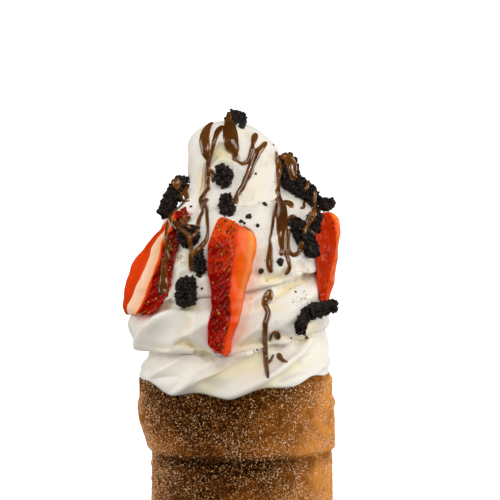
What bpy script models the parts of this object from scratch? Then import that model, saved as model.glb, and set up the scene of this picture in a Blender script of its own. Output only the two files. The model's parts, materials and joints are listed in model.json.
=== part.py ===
"""Chimney cake cup: a spiral-wound sweet dough tube with a closed end, rolled in sugar, filled with a
tall piped swirl of whipped cream and topped with strawberry wedges, broken cocoa cookies and chocolate
drizzle. It stands on its closed end. +Z is up, the origin is the centre of the base, and -Y is the front.
Angles round the axis are in degrees from the front, positive towards +X."""

import math
import random

import bmesh
import bpy
import numpy as np
from mathutils import Matrix, Vector
from mathutils.bvhtree import BVHTree

MM = 0.001
GAP = 0.35 * MM  # clearance between neighbouring solids
TOPPING_GAP = 0.6 * MM  # clearance between toppings that lie on each other
COLUMNS = 54  # facets round the dough and the cream

# Dough tube, wound from one flat strip
DOUGH_HEIGHT = 100 * MM
STRIP_PITCH = 31 * MM  # height of one turn of the strip
FIRST_SEAM = 69 * MM  # lower edge of the top turn, level across the front
SEAM_DROP_FROM = 70  # angle where the strip starts to climb down round the back
SEAM_DROP_TO = 290
BASE_RADIUS = 27 * MM  # flat disc that the cup stands on
BASE_ROUNDING = 8 * MM
FOOT_RADIUS = 30.4 * MM
DOUGH_TAPER = 0.034  # radius gained for each unit of height
TOP_TURN_FLARE = 1.7 * MM
STRIP_EDGE = 1.5 * MM  # how far a turn's lower edge stands proud of the turn below
MOUTH_RADIUS = 26.5 * MM
WELL_RADIUS = 22.5 * MM
FLOOR_THICKNESS = 9 * MM
RIM_ROUNDING = 5 * MM
RIM_STEPS = 5

# Cream swirl
CREAM_TOP = 192.3 * MM
# Outline of the swirl as (height, radius) from its lower lip to its peak
CREAM_OUTLINE = (
    (89, 33.6), (98, 34.2), (105, 34.2), (110, 35.2), (114, 36.2), (119, 36.9), (126, 35.6), (133, 33.8), (140, 33.2),
    (148, 32.0), (153, 30.0), (156.5, 26.6), (159, 21.8), (162, 18.4), (166, 16.9), (171, 16.6), (178, 16.5),
    (183, 15.4), (187, 12.6), (190, 8.6), (191.8, 3.8), (192.3, 0.0),
)
# The swirl is fuller over the rim at the front and the back, where the lip hangs lowest
RIM_SWELL = 3.4 * MM
RIM_SWELL_TOP = 112 * MM
# The ledge below the peak climbs up the right side
LEDGE_RISE = 7 * MM
LEDGE_RISE_ANGLE = 100
LEDGE_RISE_WIDTH = 105
# The swirl leans: (height, shift towards -X)
CREAM_LEAN = (
    (90, 1.2), (104, 1.4), (111, 3.5), (119, 3.8), (127, 2.8), (138, 1.7), (160, 1.3), (178, 2.0), (186, 3.6), (193, 5.0),
)
# Crease between the turns of the swirl, climbing with the angle: (angle, height, depth)
CREASE = (
    (-140, 106.0, 0.0), (-90, 107.0, 4.6), (0, 106.5, 2.6), (45, 110.5, 2.2), (90, 114.5, 1.0), (180, 118.0, 2.8),
    (270, 121.5, 3.0), (360, 127.5, 2.8), (390, 131.0, 3.4), (450, 138.0, 1.8), (540, 146.0, 3.0),
    (630, 152.0, 2.6), (720, 158.5, 2.0), (790, 161.0, 2.4), (880, 165.0, 0.0),
)
FLUTES = 10  # star-nozzle ridges in one turn
FLUTE_SHIFT = 0.4  # how far the ridges move on from one turn to the next
FLUTE_ANGLE = -3  # angle of the ridge that ends at the front
FLUTE_CLIMB = 0.337 * MM  # height that a ridge gains for each degree
FLUTE_HEIGHT = ((90, 3.0), (107, 2.6), (114, 1.6), (135, 1.5), (155, 1.1), (170, 0.6), (185, 0.3))
# Tips of the scalloped lower lip as (angle, height)
LIP_TIPS = (
    (-180, 93.0), (-147, 92.5), (-111, 96.0), (-75, 96.6), (-40, 91.8), (-3, 91.0), (33, 95.0), (69, 98.0),
    (105, 97.5), (141, 93.0), (180, 93.0),
)
LIP_SCALLOP = 1.7 * MM
LIP_ROUNDING = 3.5 * MM
LIP_THICKNESS = 0.9 * MM  # least thickness of the cream over the rim
LIP_BLEND_TOP = 108 * MM


def smooth(low, high, value):
    """0 below low, 1 above high, and an S-shaped rise between."""
    share = np.clip((value - low) / (high - low), 0, 1)
    return share * share * (3 - 2 * share)


def column(table, item):
    """One column of a table as an array."""
    return np.array([row[item] for row in table], float)


def wrapped(angle):
    """The angle between -180 and 180 degrees."""
    return (angle + 180) % 360 - 180


def seam_drop(angle):
    """Share of one pitch by which the strip has climbed down at this angle."""
    return smooth(SEAM_DROP_FROM, SEAM_DROP_TO, angle % 360)


def dough_surface(angle, height):
    """(radius, shift along X) of the dough's outer wall."""
    turn = (height - FIRST_SEAM) / STRIP_PITCH + seam_drop(angle)
    lap = np.floor(turn)
    up_the_strip = turn - lap
    strip = lap - seam_drop(angle)  # 0 on the top turn, -1 on the next
    flare = TOP_TURN_FLARE * smooth(-0.9, 0, strip)
    edge = STRIP_EDGE * smooth(0, 0.09, up_the_strip) * (1.15 - up_the_strip)
    edge = edge * smooth(8 * MM, 20 * MM, height) * (1 - smooth(86 * MM, 91 * MM, height))
    radians = np.radians(angle)
    # The top turn curls in towards its lower edge on the left
    left = np.clip(-np.sin(radians), 0, 1) ** 2
    curl = 3.6 * MM * left * (1 - smooth(0, 0.5, up_the_strip)) * smooth(-0.9, 0, strip)
    swell = 0.35 * MM * np.sin(3 * radians + height / (19 * MM)) * smooth(0, 20 * MM, height)
    radius = FOOT_RADIUS + DOUGH_TAPER * height + flare + edge - curl + swell
    foot = 1 - np.clip(height / BASE_ROUNDING, 0, 1)
    rounding = (radius - BASE_RADIUS) * (1 - np.sqrt(1 - foot * foot))
    shift = 1.1 * MM - 2.0 * MM * smooth(-0.9, 0, strip)
    return radius - rounding, shift * smooth(0, 25 * MM, height)


def ring_points(angle, radius, height, shift):
    """Points at these angles and radii round the axis."""
    radians = np.radians(angle)
    across = radius * np.sin(radians) + shift
    along = -radius * np.cos(radians)
    return np.stack([across, along, np.broadcast_to(height, across.shape)], axis=-1)


def crease_depth(angle, height):
    """(inward depth of the creases, index of the swirl's turn) at these places."""
    angles, heights, depths = column(CREASE, 0), column(CREASE, 1) * MM, column(CREASE, 2) * MM
    total = np.zeros_like(height)
    lap = np.zeros_like(height)
    for turn in range(-1, 4):
        unwound = angle + 360 * turn
        above = height - np.interp(unwound, angles, heights)
        depth = np.interp(unwound, angles, depths, left=0, right=0)
        lip = 1 - smooth(0, 2.4 * MM, above)
        slope = 1 - smooth(0, 8.5 * MM, -above)
        total = np.maximum(total, depth * np.where(above > 0, lip, slope))
        lap = lap + ((above > 0) & (unwound >= angles[0]))
    return total, lap


def flute_height(angle, height, lap):
    """Outward height of the star-nozzle ridges, which run up to the right."""
    spacing = 360 / FLUTES
    unwound = angle - FLUTE_ANGLE - (height - 91 * MM) / FLUTE_CLIMB + FLUTE_SHIFT * spacing * lap
    place = (unwound / spacing) % 1
    from_crest = 2 * np.minimum(place, 1 - place)
    crest = (1 - np.sqrt(from_crest**2 + 0.02)).clip(0, 1) ** 1.7
    size = np.interp(height, column(FLUTE_HEIGHT, 0) * MM, column(FLUTE_HEIGHT, 1) * MM)
    return size * (crest - 0.3)


# Folds of the peak: each is a route of (angle, height), its depth, how softly it ends, and which side is soft
FOLDS = (
    (((-36, 158), (-40, 166), (-36, 172.5), (-28, 178), (-15, 181), (-2, 180), (7, 176)), 3.6, 6.0, 1),
    (((60, 186), (48, 179), (42, 170), (46, 162)), 1.5, 6.0, -1),
    (((150, 160), (146, 168), (150, 176), (165, 182), (182, 181), (196, 175)), 3.2, 6.0, 1),
    (((-120, 186), (-112, 176), (-118, 166)), 1.6, 6.0, 1),
)
FOLD_EDGE = 1.8 * MM
# Dents where the cream gives way to a topping: angle, height, half width in degrees, half height, depth
DENTS = ((-80, 149, 36, 15, 6.2),)


def fold_depth(angle, height, radius):
    """Inward depth of the folds: steep on one side of each route and soft on the other."""
    total = np.zeros_like(height)
    for route, depth, reach, side in FOLDS:
        nearest = np.full(height.shape, 1e9)
        signed = np.zeros_like(height)
        for (angle_a, height_a), (angle_b, height_b) in zip(route, route[1:]):
            middle = (angle_a + angle_b) / 2
            across = np.radians(wrapped(angle - middle)) * np.maximum(radius, 6 * MM)
            half = np.radians(angle_b - angle_a) / 2 * np.maximum(radius, 6 * MM)
            run, rise = 2 * half, (height_b - height_a) * MM
            from_x, from_z = across + half, height - height_a * MM
            share = np.clip((from_x * run + from_z * rise) / (run * run + rise * rise), 0, 1)
            off_x, off_z = from_x - share * run, from_z - share * rise
            distance = np.hypot(off_x, off_z)
            closer = distance < nearest
            turn = np.sign(run * from_z - rise * from_x) * -side
            signed = np.where(closer, distance * turn, signed)
            nearest = np.minimum(nearest, distance)
        soft = 1 - smooth(0, reach * MM, signed)
        steep = 1 - smooth(0, FOLD_EDGE, -signed)
        total = np.maximum(total, depth * MM * np.where(signed > 0, soft, steep))
    return total


def dent_depth(angle, height):
    """Inward depth of the dents beside the toppings."""
    total = np.zeros_like(height)
    for at, level, wide, tall, depth in DENTS:
        near = np.hypot(wrapped(angle - at) / wide, (height / MM - level) / tall)
        total = total + depth * MM * (0.5 + 0.5 * np.cos(math.pi * np.minimum(near, 1)))
    return total


def lip_height(angle):
    """Height of the cream's scalloped lower edge."""
    angle = wrapped(angle)
    tips = np.interp(angle, column(LIP_TIPS, 0), column(LIP_TIPS, 1)) * MM
    place = (angle - FLUTE_ANGLE) * FLUTES / 360
    return tips + LIP_SCALLOP * np.sin(math.pi * place) ** 2


def dough_wall(angle, height):
    """(radius, shift) at the gap outside the dough, up to the top of its rounded rim."""
    start = DOUGH_HEIGHT - RIM_ROUNDING
    radius, shift = dough_surface(angle, np.minimum(height, start))
    up_the_rim = np.clip((height - start) / (RIM_ROUNDING + GAP), 0, 1)
    half = (radius - MOUTH_RADIUS) / 2 + GAP
    return radius + GAP - half * (1 - np.sqrt(1 - up_the_rim**2)), shift


def outline_at(share):
    """(height, radius) of the swirl's outline at these shares of its length, as a smooth curve."""
    heights, radii = column(CREAM_OUTLINE, 0) * MM, column(CREAM_OUTLINE, 1) * MM
    knots = np.concatenate([[0], np.cumsum(np.hypot(np.diff(heights), np.diff(radii)))])
    fine = np.linspace(0, knots[-1], 400)
    kernel = np.hanning(23) / np.hanning(23).sum()
    curves = []
    for values, mirror in ((heights, 1), (radii, -1)):
        line = np.interp(fine, knots, values)
        # Past the peak the outline comes down the other side, so that smoothing keeps the cap round
        before = 2 * line[0] - line[11:0:-1]
        after = line[-2:-13:-1] * mirror
        curves.append(np.convolve(np.concatenate([before, line, after]), kernel, mode="valid"))
    place = share * (len(curves[0]) - 1)
    return [np.interp(place, np.arange(len(curve)), curve) for curve in curves]


def cream_points(angle, share):
    """Points of the cream's outer surface. share runs from 0 at the lower lip to 1 at the peak."""
    height, radius = outline_at(share)
    lip = lip_height(angle)
    start = outline_at(np.zeros(1))[0][0]
    height = height + (lip - start) * (1 - smooth(start, LIP_BLEND_TOP, height))
    creases, lap = crease_depth(angle, height)
    relief = flute_height(angle, height, lap) - creases - fold_depth(angle, height, radius)
    radians = np.radians(angle)
    relief = relief + 0.5 * MM * np.sin(2 * radians + height / (11 * MM)) - dent_depth(angle, height)
    relief = relief + RIM_SWELL * np.cos(radians) ** 2 * (1 - smooth(lip, RIM_SWELL_TOP, height))
    radius = radius + relief * np.clip(radius / (9 * MM), 0, 1)
    shift = -np.interp(height, column(CREAM_LEAN, 0) * MM, column(CREAM_LEAN, 1) * MM)
    # Round the ledge, the heights climb towards the right side
    from_middle = np.abs(wrapped(angle - LEDGE_RISE_ANGLE)) / LEDGE_RISE_WIDTH
    climb = LEDGE_RISE * (0.5 + 0.5 * np.cos(math.pi * np.minimum(from_middle, 1)))
    climb = climb * smooth(146 * MM, 158 * MM, height) * (1 - smooth(163 * MM, 186 * MM, height))
    height = height + climb
    # The lip rounds in to the dough's wall
    wall, dough_shift = dough_wall(angle, height)
    above_lip = np.clip((height - lip) / LIP_ROUNDING, 0, 1)
    rounding = np.sqrt(1 - (1 - above_lip) ** 2)
    near_lip = 1 - smooth(DOUGH_HEIGHT, DOUGH_HEIGHT + 8 * MM, height)
    on_rim = height < DOUGH_HEIGHT + RIM_ROUNDING
    radius = np.where(on_rim, np.maximum(radius, wall + LIP_THICKNESS), radius)
    radius = np.where(above_lip < 1, wall + (radius - wall) * rounding, radius)
    shift = dough_shift * near_lip + shift * (1 - near_lip)
    return ring_points(angle, radius, height, shift)


# The toppings are placed as seen from a point in front of the cup: each place is (across, up) in millimetres
# in the upright plane through the axis, and lies on the sight line through it.
EYE = Vector((4.3, -550.0, 143.0))
BACK_TURN = 168  # the toppings of the hidden side repeat some of the front ones, turned round the axis

# Strawberry wedges. Each row is a section from the top to the tip: the places of its corners from left to right.
FRONT_BERRY = (
    ((-6.6, 155.6), (0.2, 151.6), (6.4, 148.4)),
    ((-9.6, 150.0), (-0.9, 148.0), (6.7, 145.0)),
    ((-11.4, 142.0), (-1.6, 141.0), (6.0, 139.6)),
    ((-11.4, 134.0), (-2.6, 133.5), (4.0, 133.0)),
    ((-10.2, 127.0), (-3.1, 126.5), (2.6, 126.5)),
    ((-10.2, 120.0), (-2.8, 119.5), (0.9, 119.5)),
    ((-11.5, 113.5), (-3.7, 113.0), (-0.9, 112.8)),
    ((-11.3, 108.3), (-5.0, 107.3), (-2.8, 106.8)),
    ((-9.3, 106.0), (-5.8, 103.8), (-4.2, 103.2)),
)
# Depth of the corners (y), first row and last, then of the two hidden corners behind
FRONT_BERRY_DEPTH = ((-30.5, -38.0, -32.0), (-38.0, -43.0, -40.0))
FRONT_BERRY_BACK = (((-4.0, -24.0), (4.5, -25.0)), ((-8.0, -33.0), (-4.5, -33.5)))

LEFT_BERRY = (
    ((-27.0, 153.4), (-25.6, 154.6), (-23.6, 156.4), (-19.4, 159.6)),
    ((-29.4, 150.2), (-26.6, 150.6), (-24.6, 151.8), (-19.4, 155.6)),
    ((-33.6, 144.0), (-29.4, 144.4), (-26.6, 145.2), (-20.6, 148.6)),
    ((-37.2, 138.8), (-32.4, 138.0), (-29.0, 138.8), (-23.2, 141.0)),
    ((-40.6, 133.0), (-35.6, 131.6), (-32.2, 132.2), (-25.0, 133.0)),
    ((-42.0, 128.2), (-38.2, 126.8), (-35.0, 126.4), (-27.8, 126.2)),
    ((-42.5, 122.6), (-40.0, 122.4), (-37.4, 121.6), (-32.4, 120.8)),
    ((-41.6, 119.0), (-40.4, 119.4), (-38.4, 119.2), (-35.2, 119.0)),
)
LEFT_BERRY_DEPTH = ((-8.0, -16.0, -22.5, -23.5), (-6.0, -16.0, -22.0, -25.5))
LEFT_BERRY_BACK = (((-23.0, -4.0), (-17.0, -12.0)), ((-33.0, -1.0), (-29.0, -12.0)))

RIGHT_BERRY = (
    ((29.4, 156.6), (32.0, 157.2), (34.8, 157.0)),
    ((28.8, 152.6), (33.0, 153.4), (37.2, 153.8)),
    ((28.8, 145.0), (33.2, 145.6), (37.3, 146.0)),
    ((29.0, 138.0), (33.2, 138.8), (36.9, 139.5)),
    ((29.6, 131.0), (32.8, 131.4), (35.4, 131.7)),
    ((30.2, 126.4), (32.4, 126.4), (34.3, 126.4)),
    ((30.8, 123.8), (32.2, 123.6), (33.4, 123.8)),
)
RIGHT_BERRY_DEPTH = ((-13.0, -17.0, -8.0), (-17.0, -20.0, -13.0))
RIGHT_BERRY_BACK = (((26.0, 0.0), (32.0, 4.0)), ((27.5, -4.0), (30.5, -3.0)))
SKIN_STEPS = 3  # facets across the rounded skin
BERRY_BOW = (1.6, 2.4, 1.0)  # how far the middles of the front, left and right berry bow outwards

# Broken cocoa cookies: name, centre, (width, length), thickness, turn in the view, how far the centre stands
# out of the cream, and how far the piece turns from the cream's own slope towards the front (0 to 1)
COOKIES = (
    ("cookie_peak", (-1.2, 191.8), (7.2, 6.8), 5.0, 10, 0.9, 0.3),
    ("cookie_upper", (-5.5, 169.9), (6.2, 7.2), 4.4, -20, 0.7, 0.0),
    ("cookie_middle", (-4.2, 160.0), (4.4, 7.2), 4.2, 4, 0.8, 0.0),
    ("cookie_left_long", (-24.2, 162.8), (6.2, 17.8), 5.0, -27, 0.6, 0.8),
    ("cookie_left", (-17.9, 147.8), (7.4, 6.8), 4.6, 25, 1.0, 0.0),
    ("cookie_left_low", (-14.2, 138.6), (4.2, 9.2), 4.0, 6, 0.6, 0.0),
    ("cookie_left_bottom", (-19.0, 127.8), (6.8, 10.8), 4.8, -8, 1.0, 0.0),
    ("cookie_right_top", (17.8, 173.6), (7.6, 9.8), 5.0, 12, 0.5, 0.6),
    ("cookie_right_long", (22.2, 165.4), (6.6, 18.6), 5.0, 49, 1.6, 0.6),
    ("cookie_right_end", (31.6, 159.6), (5.8, 4.8), 4.8, 10, 1.0, 0.5),
    ("cookie_right_block", (28.2, 153.0), (5.8, 8.0), 4.6, 15, 3.6, 0.8),
    ("cookie_right_slant", (23.0, 147.2), (5.4, 16.2), 4.6, 33, 2.0, 0.0),
    ("cookie_low_bar", (29.2, 120.4), (4.6, 13.0), 4.6, 108, 1.6, 0.6),
    ("cookie_low_leg", (22.2, 114.4), (4.0, 6.6), 4.2, 2, 1.0, 0.0),
)
BACK_COOKIES = ("cookie_upper", "cookie_left", "cookie_left_bottom", "cookie_right_slant")
COOKIE_CORNERS = 8
COOKIE_ROUGHNESS = 0.13  # how far the corners stray from a plain oval block

# Chocolate drizzle: width of the strand, then its route over the cream
DRIZZLE = (
    (3.3, ((-9.5, 190.0), (-12.4, 188.1), (-13.7, 183.7), (-13.4, 178.5), (-11.8, 176.7))),
    (1.8, ((-11.4, 177.0), (-11.8, 172.4), (-11.2, 165.3), (-13.9, 162.0), (-13.4, 157.8), (-14.6, 152.8))),
    (4.8, ((-3.6, 189.2), (-3.0, 186.0), (-2.6, 182.5), (-2.4, 179.0))),
    (2.5, ((10.2, 182.6), (8.1, 179.5), (6.3, 177.0), (4.8, 173.3), (1.7, 167.5), (-0.4, 162.4))),
    (2.0, ((13.9, 178.5), (14.8, 173.7), (14.8, 166.0), (14.9, 161.5), (16.1, 158.2))),
    (3.2, ((16.1, 158.8), (16.1, 151.1), (16.0, 144.5), (17.6, 139.6), (17.0, 133.8))),
    (2.0, ((14.4, 158.0), (12.8, 149.3), (11.8, 143.5), (11.6, 134.7))),
    (2.6, ((11.1, 128.1), (10.1, 121.9), (11.0, 120.6), (11.7, 119.0))),
    (1.8, ((11.5, 119.8), (10.2, 116.2), (9.8, 111.2), (10.1, 104.5), (10.8, 95.6))),
)
STRAND_SIDES = 6
STRAND_HEIGHT = 0.62  # share of the width
STRAND_RISE = 0.06  # how far its middle lies above the cream, as a share of the width
# Small cookie crumbs on the cream: (across, up, size)
CRUMBS = (
    (9.7, 159.7, 2.0), (3.8, 155.2, 2.2), (1.2, 153.5, 1.6), (8.3, 135.2, 2.0), (15.4, 138.6, 3.0),
)


def seen(place, depth):
    """The point (millimetres) at this depth on the sight line through a place."""
    share = (depth - EYE.y) / -EYE.y
    return Vector((EYE.x + (place[0] - EYE.x) * share, depth, EYE.z + (place[1] - EYE.z) * share))


def mesh_object(name, points, faces, color, roughness):
    """A closed mesh object with its material. The points are in metres."""
    mesh = bpy.data.meshes.new(name)
    mesh.from_pydata([tuple(point) for point in points], [], faces)
    mesh.validate()
    shape = bmesh.new()
    shape.from_mesh(mesh)
    bmesh.ops.remove_doubles(shape, verts=shape.verts, dist=0.002 * MM)
    bmesh.ops.triangulate(shape, faces=shape.faces)
    bmesh.ops.recalc_face_normals(shape, faces=shape.faces)
    if shape.calc_volume(signed=True) < 0:
        bmesh.ops.reverse_faces(shape, faces=shape.faces)
    shape.to_mesh(mesh)
    shape.free()
    item = bpy.data.objects.new(name, mesh)
    bpy.context.scene.collection.objects.link(item)
    material = bpy.data.materials.get(color[0]) or bpy.data.materials.new(color[0])
    material.use_nodes = True
    shader = next(node for node in material.node_tree.nodes if node.type == "BSDF_PRINCIPLED")
    shader.inputs["Base Color"].default_value = (*color[1], 1)
    shader.inputs["Roughness"].default_value = roughness
    mesh.materials.append(material)
    return item


CRUST = ("crust", (0.30, 0.15, 0.06))
CREAM = ("cream", (0.93, 0.90, 0.84))
BERRY = ("strawberry", (0.62, 0.05, 0.02))
COOKIE = ("cocoa", (0.015, 0.010, 0.008))
CHOCOLATE = ("chocolate", (0.12, 0.04, 0.015))


class Grid:
    """Rows of points round the axis, joined into faces."""

    def __init__(self):
        self.points = []
        self.faces = []

    def add(self, points):
        """Adds one row and returns its indices."""
        first = len(self.points)
        self.points.extend(points)
        return list(range(first, first + len(points)))

    def join(self, lower, upper):
        """Faces between two closed rows."""
        for i, a in enumerate(lower):
            j = (i + 1) % len(lower)
            self.faces.append((a, lower[j], upper[j], upper[i]))

    def close(self, row, point):
        """A fan from one row to a point."""
        (tip,) = self.add([point])
        for i, a in enumerate(row):
            self.faces.append((a, row[(i + 1) % len(row)], tip))


def column_angles():
    return np.arange(COLUMNS) * 360 / COLUMNS


def dough_shift(angle, height):
    return dough_surface(angle, np.broadcast_to(height, angle.shape))[1]


def rim_rows(angle, gap, lowest):
    """Rows over the dough's rim at this gap from it, from these heights outside to the mouth."""
    start = DOUGH_HEIGHT - RIM_ROUNDING
    outside, shift = dough_surface(angle, np.full_like(angle, start))
    middle, half = (outside + MOUTH_RADIUS) / 2, (outside - MOUTH_RADIUS) / 2
    first = np.arcsin(np.clip((lowest - start) / (RIM_ROUNDING + gap), 0, 0.98))
    for share in np.linspace(0, 1, RIM_STEPS + 1):
        turn = first + (math.pi - first) * share
        height = start + (RIM_ROUNDING + gap) * np.sin(turn)
        yield ring_points(angle, middle + (half + gap) * np.cos(turn), height, shift)


def well_rows(angle, gap):
    """Rows down the inside of the dough, and the point at the middle of its floor."""
    floor = FLOOR_THICKNESS + gap
    rows = []
    for share in (0.55, 0.12, 0):
        height = floor + share * (DOUGH_HEIGHT - RIM_ROUNDING - floor)
        radius = WELL_RADIUS + (MOUTH_RADIUS - WELL_RADIUS) * share - gap
        corner = 3.5 * MM if share == 0 else 0
        rows.append(ring_points(angle, np.full_like(angle, radius - corner), height, dough_shift(angle, height)))
    return rows, np.array([0, 0, floor])


STRIP_ROWS = (0.004, 0.08, 0.5, 0.94)


def make_cake():
    """The dough: a closed tube whose wall shows the wound strip."""
    grid = Grid()
    angle = column_angles()
    low, high = BASE_ROUNDING, DOUGH_HEIGHT - RIM_ROUNDING
    laps = [lap + up for lap in range(-3, 3) for up in STRIP_ROWS]
    rows = []
    for up_the_strip in laps:
        height = FIRST_SEAM + (up_the_strip - seam_drop(angle)) * STRIP_PITCH
        height = np.clip(height, low, high)
        radius, shift = dough_surface(angle, height)
        rows.append(grid.add(ring_points(angle, radius, height, shift)))
    step = len(STRIP_ROWS)
    for row in range(len(rows) - 1):
        for i in range(COLUMNS):
            if i < COLUMNS - 1:
                right_low, right_high = rows[row][i + 1], rows[row + 1][i + 1]
            else:
                right_low = rows[max(row - step, 0)][0]
                right_high = rows[max(row + 1 - step, 0)][0]
            grid.faces.append((rows[row][i], right_low, right_high, rows[row + 1][i]))
    bottom = rows[0]
    for turn in (0.62, 0.3, 0.0):
        height = BASE_ROUNDING * (1 - math.cos(math.pi / 2 * turn)) if turn else 0
        radius, shift = dough_surface(angle, np.full_like(angle, height))
        upper = grid.add(ring_points(angle, radius, height, shift))
        grid.join(upper, bottom)
        bottom = upper
    grid.close(bottom, np.array([0, 0, 0]))
    # Every row that reaches the top shares its points with the rim's first row after the weld
    last = None
    for points in rim_rows(angle, 0, np.zeros_like(angle)):
        row = grid.add(points)
        if last:
            grid.join(last, row)
        last = row
    rows, centre = well_rows(angle, 0)
    for points in rows:
        row = grid.add(points)
        grid.join(last, row)
        last = row
    grid.close(last, centre)
    return mesh_object("cake", grid.points, grid.faces, CRUST, 0.8)


CREAM_ROWS = 37


def make_cream():
    """The cream: a plug that fills the dough, over its rim and up to the peak."""
    grid = Grid()
    angle = column_angles()
    lip = lip_height(angle)
    # Where the lip hangs below the rounded rim, its first row lies on the wall
    start = DOUGH_HEIGHT - RIM_ROUNDING
    dough, shift = dough_surface(angle, np.minimum(lip, start))
    rim = list(rim_rows(angle, GAP, lip))
    on_wall = (lip < start)[:, None]
    first = np.where(on_wall, ring_points(angle, dough + GAP, lip, shift), rim[0])
    last = grid.add(first)
    skin = last
    for points in rim:
        row = grid.add(points)
        grid.join(last, row)
        last = row
    rows, centre = well_rows(angle, GAP)
    for points in rows:
        row = grid.add(points)
        grid.join(last, row)
        last = row
    grid.close(last, centre)
    last = skin
    for row_index in range(1, CREAM_ROWS):
        share = row_index / CREAM_ROWS
        if row_index == 1:
            share = 0.6 / CREAM_ROWS
        row = grid.add(cream_points(angle, np.full_like(angle, share)))
        grid.join(row, last)
        last = row
    grid.close(last[::-1], cream_points(np.zeros(1), np.ones(1))[0])
    return mesh_object("cream", grid.points, grid.faces, CREAM, 0.5)


def blend(first, last, share):
    """Values between two matching rows of numbers."""
    return [a + (b - a) * share for a, b in zip(first, last)]


def make_berry(name, rows, depths, backs, bow):
    """A wedge of strawberry: flat cut faces between its left corners and one rounded side of skin."""
    skin_left = len(rows[0]) == 3
    sections = []
    for index, row in enumerate(rows):
        share = index / (len(rows) - 1)
        depth = [y - bow * math.sin(math.pi * share) for y in blend(*depths, share)]
        back = [blend(backs[0][k], backs[1][k], share) for k in range(2)]
        corners = [seen(place, y) for place, y in zip(row, depth)]
        middle = sum((corner.z for corner in corners)) / len(corners)
        # The skin bows out between the ridge and its outer corner
        ridge, outer = (corners[1], corners[0]) if skin_left else (corners[2], corners[3])
        arc = []
        for step in range(1, SKIN_STEPS):
            swell = math.sin(math.pi * step / SKIN_STEPS)
            away = Vector((outer.x - ridge.x, outer.y - ridge.y, 0))
            away = Vector((away.y, -away.x, 0)).normalized() * (1 if skin_left else -1)
            flat = ridge.lerp(outer, step / SKIN_STEPS)
            arc.append(flat + away * swell * 0.24 * (outer - ridge).length)
        behind = [Vector((x, y, middle)) for x, y in back]
        if skin_left:
            section = [corners[2], corners[1], *arc, corners[0], behind[0], behind[1]]
        else:
            section = [corners[3], *arc[::-1], corners[2], corners[1], corners[0], behind[0], behind[1]]
        sections.append(section)
    grid = Grid()
    last = None
    for index, section in enumerate(sections):
        if index in (0, len(sections) - 1):
            # The ends are rounded off a little
            centre = sum(section, Vector()) / len(section)
            section = [centre + (point - centre) * 0.9 for point in section]
        row = grid.add([point * MM for point in section])
        if last:
            grid.join(last, row)
        last = row
    for row, reach in ((list(range(len(sections[0]))), 0.7), (last, 0.5)):
        centre = sum((Vector(grid.points[i]) for i in row), Vector()) / len(row)
        up = 1 if row is not last else -1
        grid.close(row, centre + Vector((0, 0, up * reach * MM)))
    return mesh_object(name, grid.points, grid.faces, BERRY, 0.25)


def surface_of(item):
    """A search tree of the object's surface, in metres."""
    mesh = item.data
    return BVHTree.FromPolygons([v.co for v in mesh.vertices], [tuple(p.vertices) for p in mesh.polygons])


def on_surface(tree, place):
    """(point, normal) where the sight line through a place meets the surface, or comes nearest to it."""
    start = EYE * MM
    direction = (Vector((place[0], 0, place[1])) * MM - start).normalized()
    point, normal, _, _ = tree.ray_cast(start, direction)
    if point is None:
        near = start + direction * (-EYE.y * MM)
        point, normal, _, _ = tree.find_nearest(near)
    return point, normal


def make_cookie(tree, name, place, size, thickness, turn, proud, forward, chance):
    """A broken piece of a thin cookie: an irregular flat block, partly sunk in the cream."""
    point, normal = on_surface(tree, place)
    if forward:
        # It keeps to its sight line also where it stands out beside the cream
        point = seen(place, point.y / MM) * MM
    # It faces out of the cream, but keeps more upright than the surface does
    facing = Vector((normal.x, normal.y - 0.25, normal.z * 0.5)).normalized()
    facing = facing.lerp(Vector((0, -1, 0)), forward).normalized()
    side = Vector((0, 0, 1)).cross(facing).normalized()
    up = facing.cross(side)
    roll = Matrix.Rotation(math.radians(turn), 3, facing)
    side, up = roll @ side, roll @ up
    centre = point + facing * proud * MM
    grid = Grid()
    rows = []
    layers = ((-0.5, 0.86), (-0.22, 1.02), (0.24, 1.0), (0.5, 0.84))
    strays = [1 + COOKIE_ROUGHNESS * chance.uniform(-1, 1) for _ in range(COOKIE_CORNERS)]
    for layer, spread in layers:
        row = []
        for corner in range(COOKIE_CORNERS):
            around = 2 * math.pi * (corner + 0.5) / COOKIE_CORNERS
            # A block with cut corners rather than an oval
            across = math.copysign(abs(math.cos(around)) ** 0.7, math.cos(around)) * size[0] / 2
            along = math.copysign(abs(math.sin(around)) ** 0.7, math.sin(around)) * size[1] / 2
            stray = strays[corner] * spread * (1 + 0.4 * COOKIE_ROUGHNESS * chance.uniform(-1, 1))
            place = centre + (side * across + up * along) * stray * MM + facing * thickness * layer * MM
            row.append(place)
        rows.append(grid.add(row))
    for lower, upper in zip(rows, rows[1:]):
        grid.join(lower, upper)
    for row, layer in ((rows[0], -0.55), (rows[-1], 0.55)):
        grid.close(row, centre + facing * thickness * layer * MM)
    return mesh_object(name, grid.points, grid.faces, COOKIE, 0.7)


def turned_copy(item, name, angle):
    """A copy of a topping on the hidden side."""
    copy = item.copy()
    copy.data = item.data.copy()
    copy.name = name
    copy.data.transform(Matrix.Rotation(math.radians(angle), 4, "Z"))
    bpy.context.scene.collection.objects.link(copy)
    return copy


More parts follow.
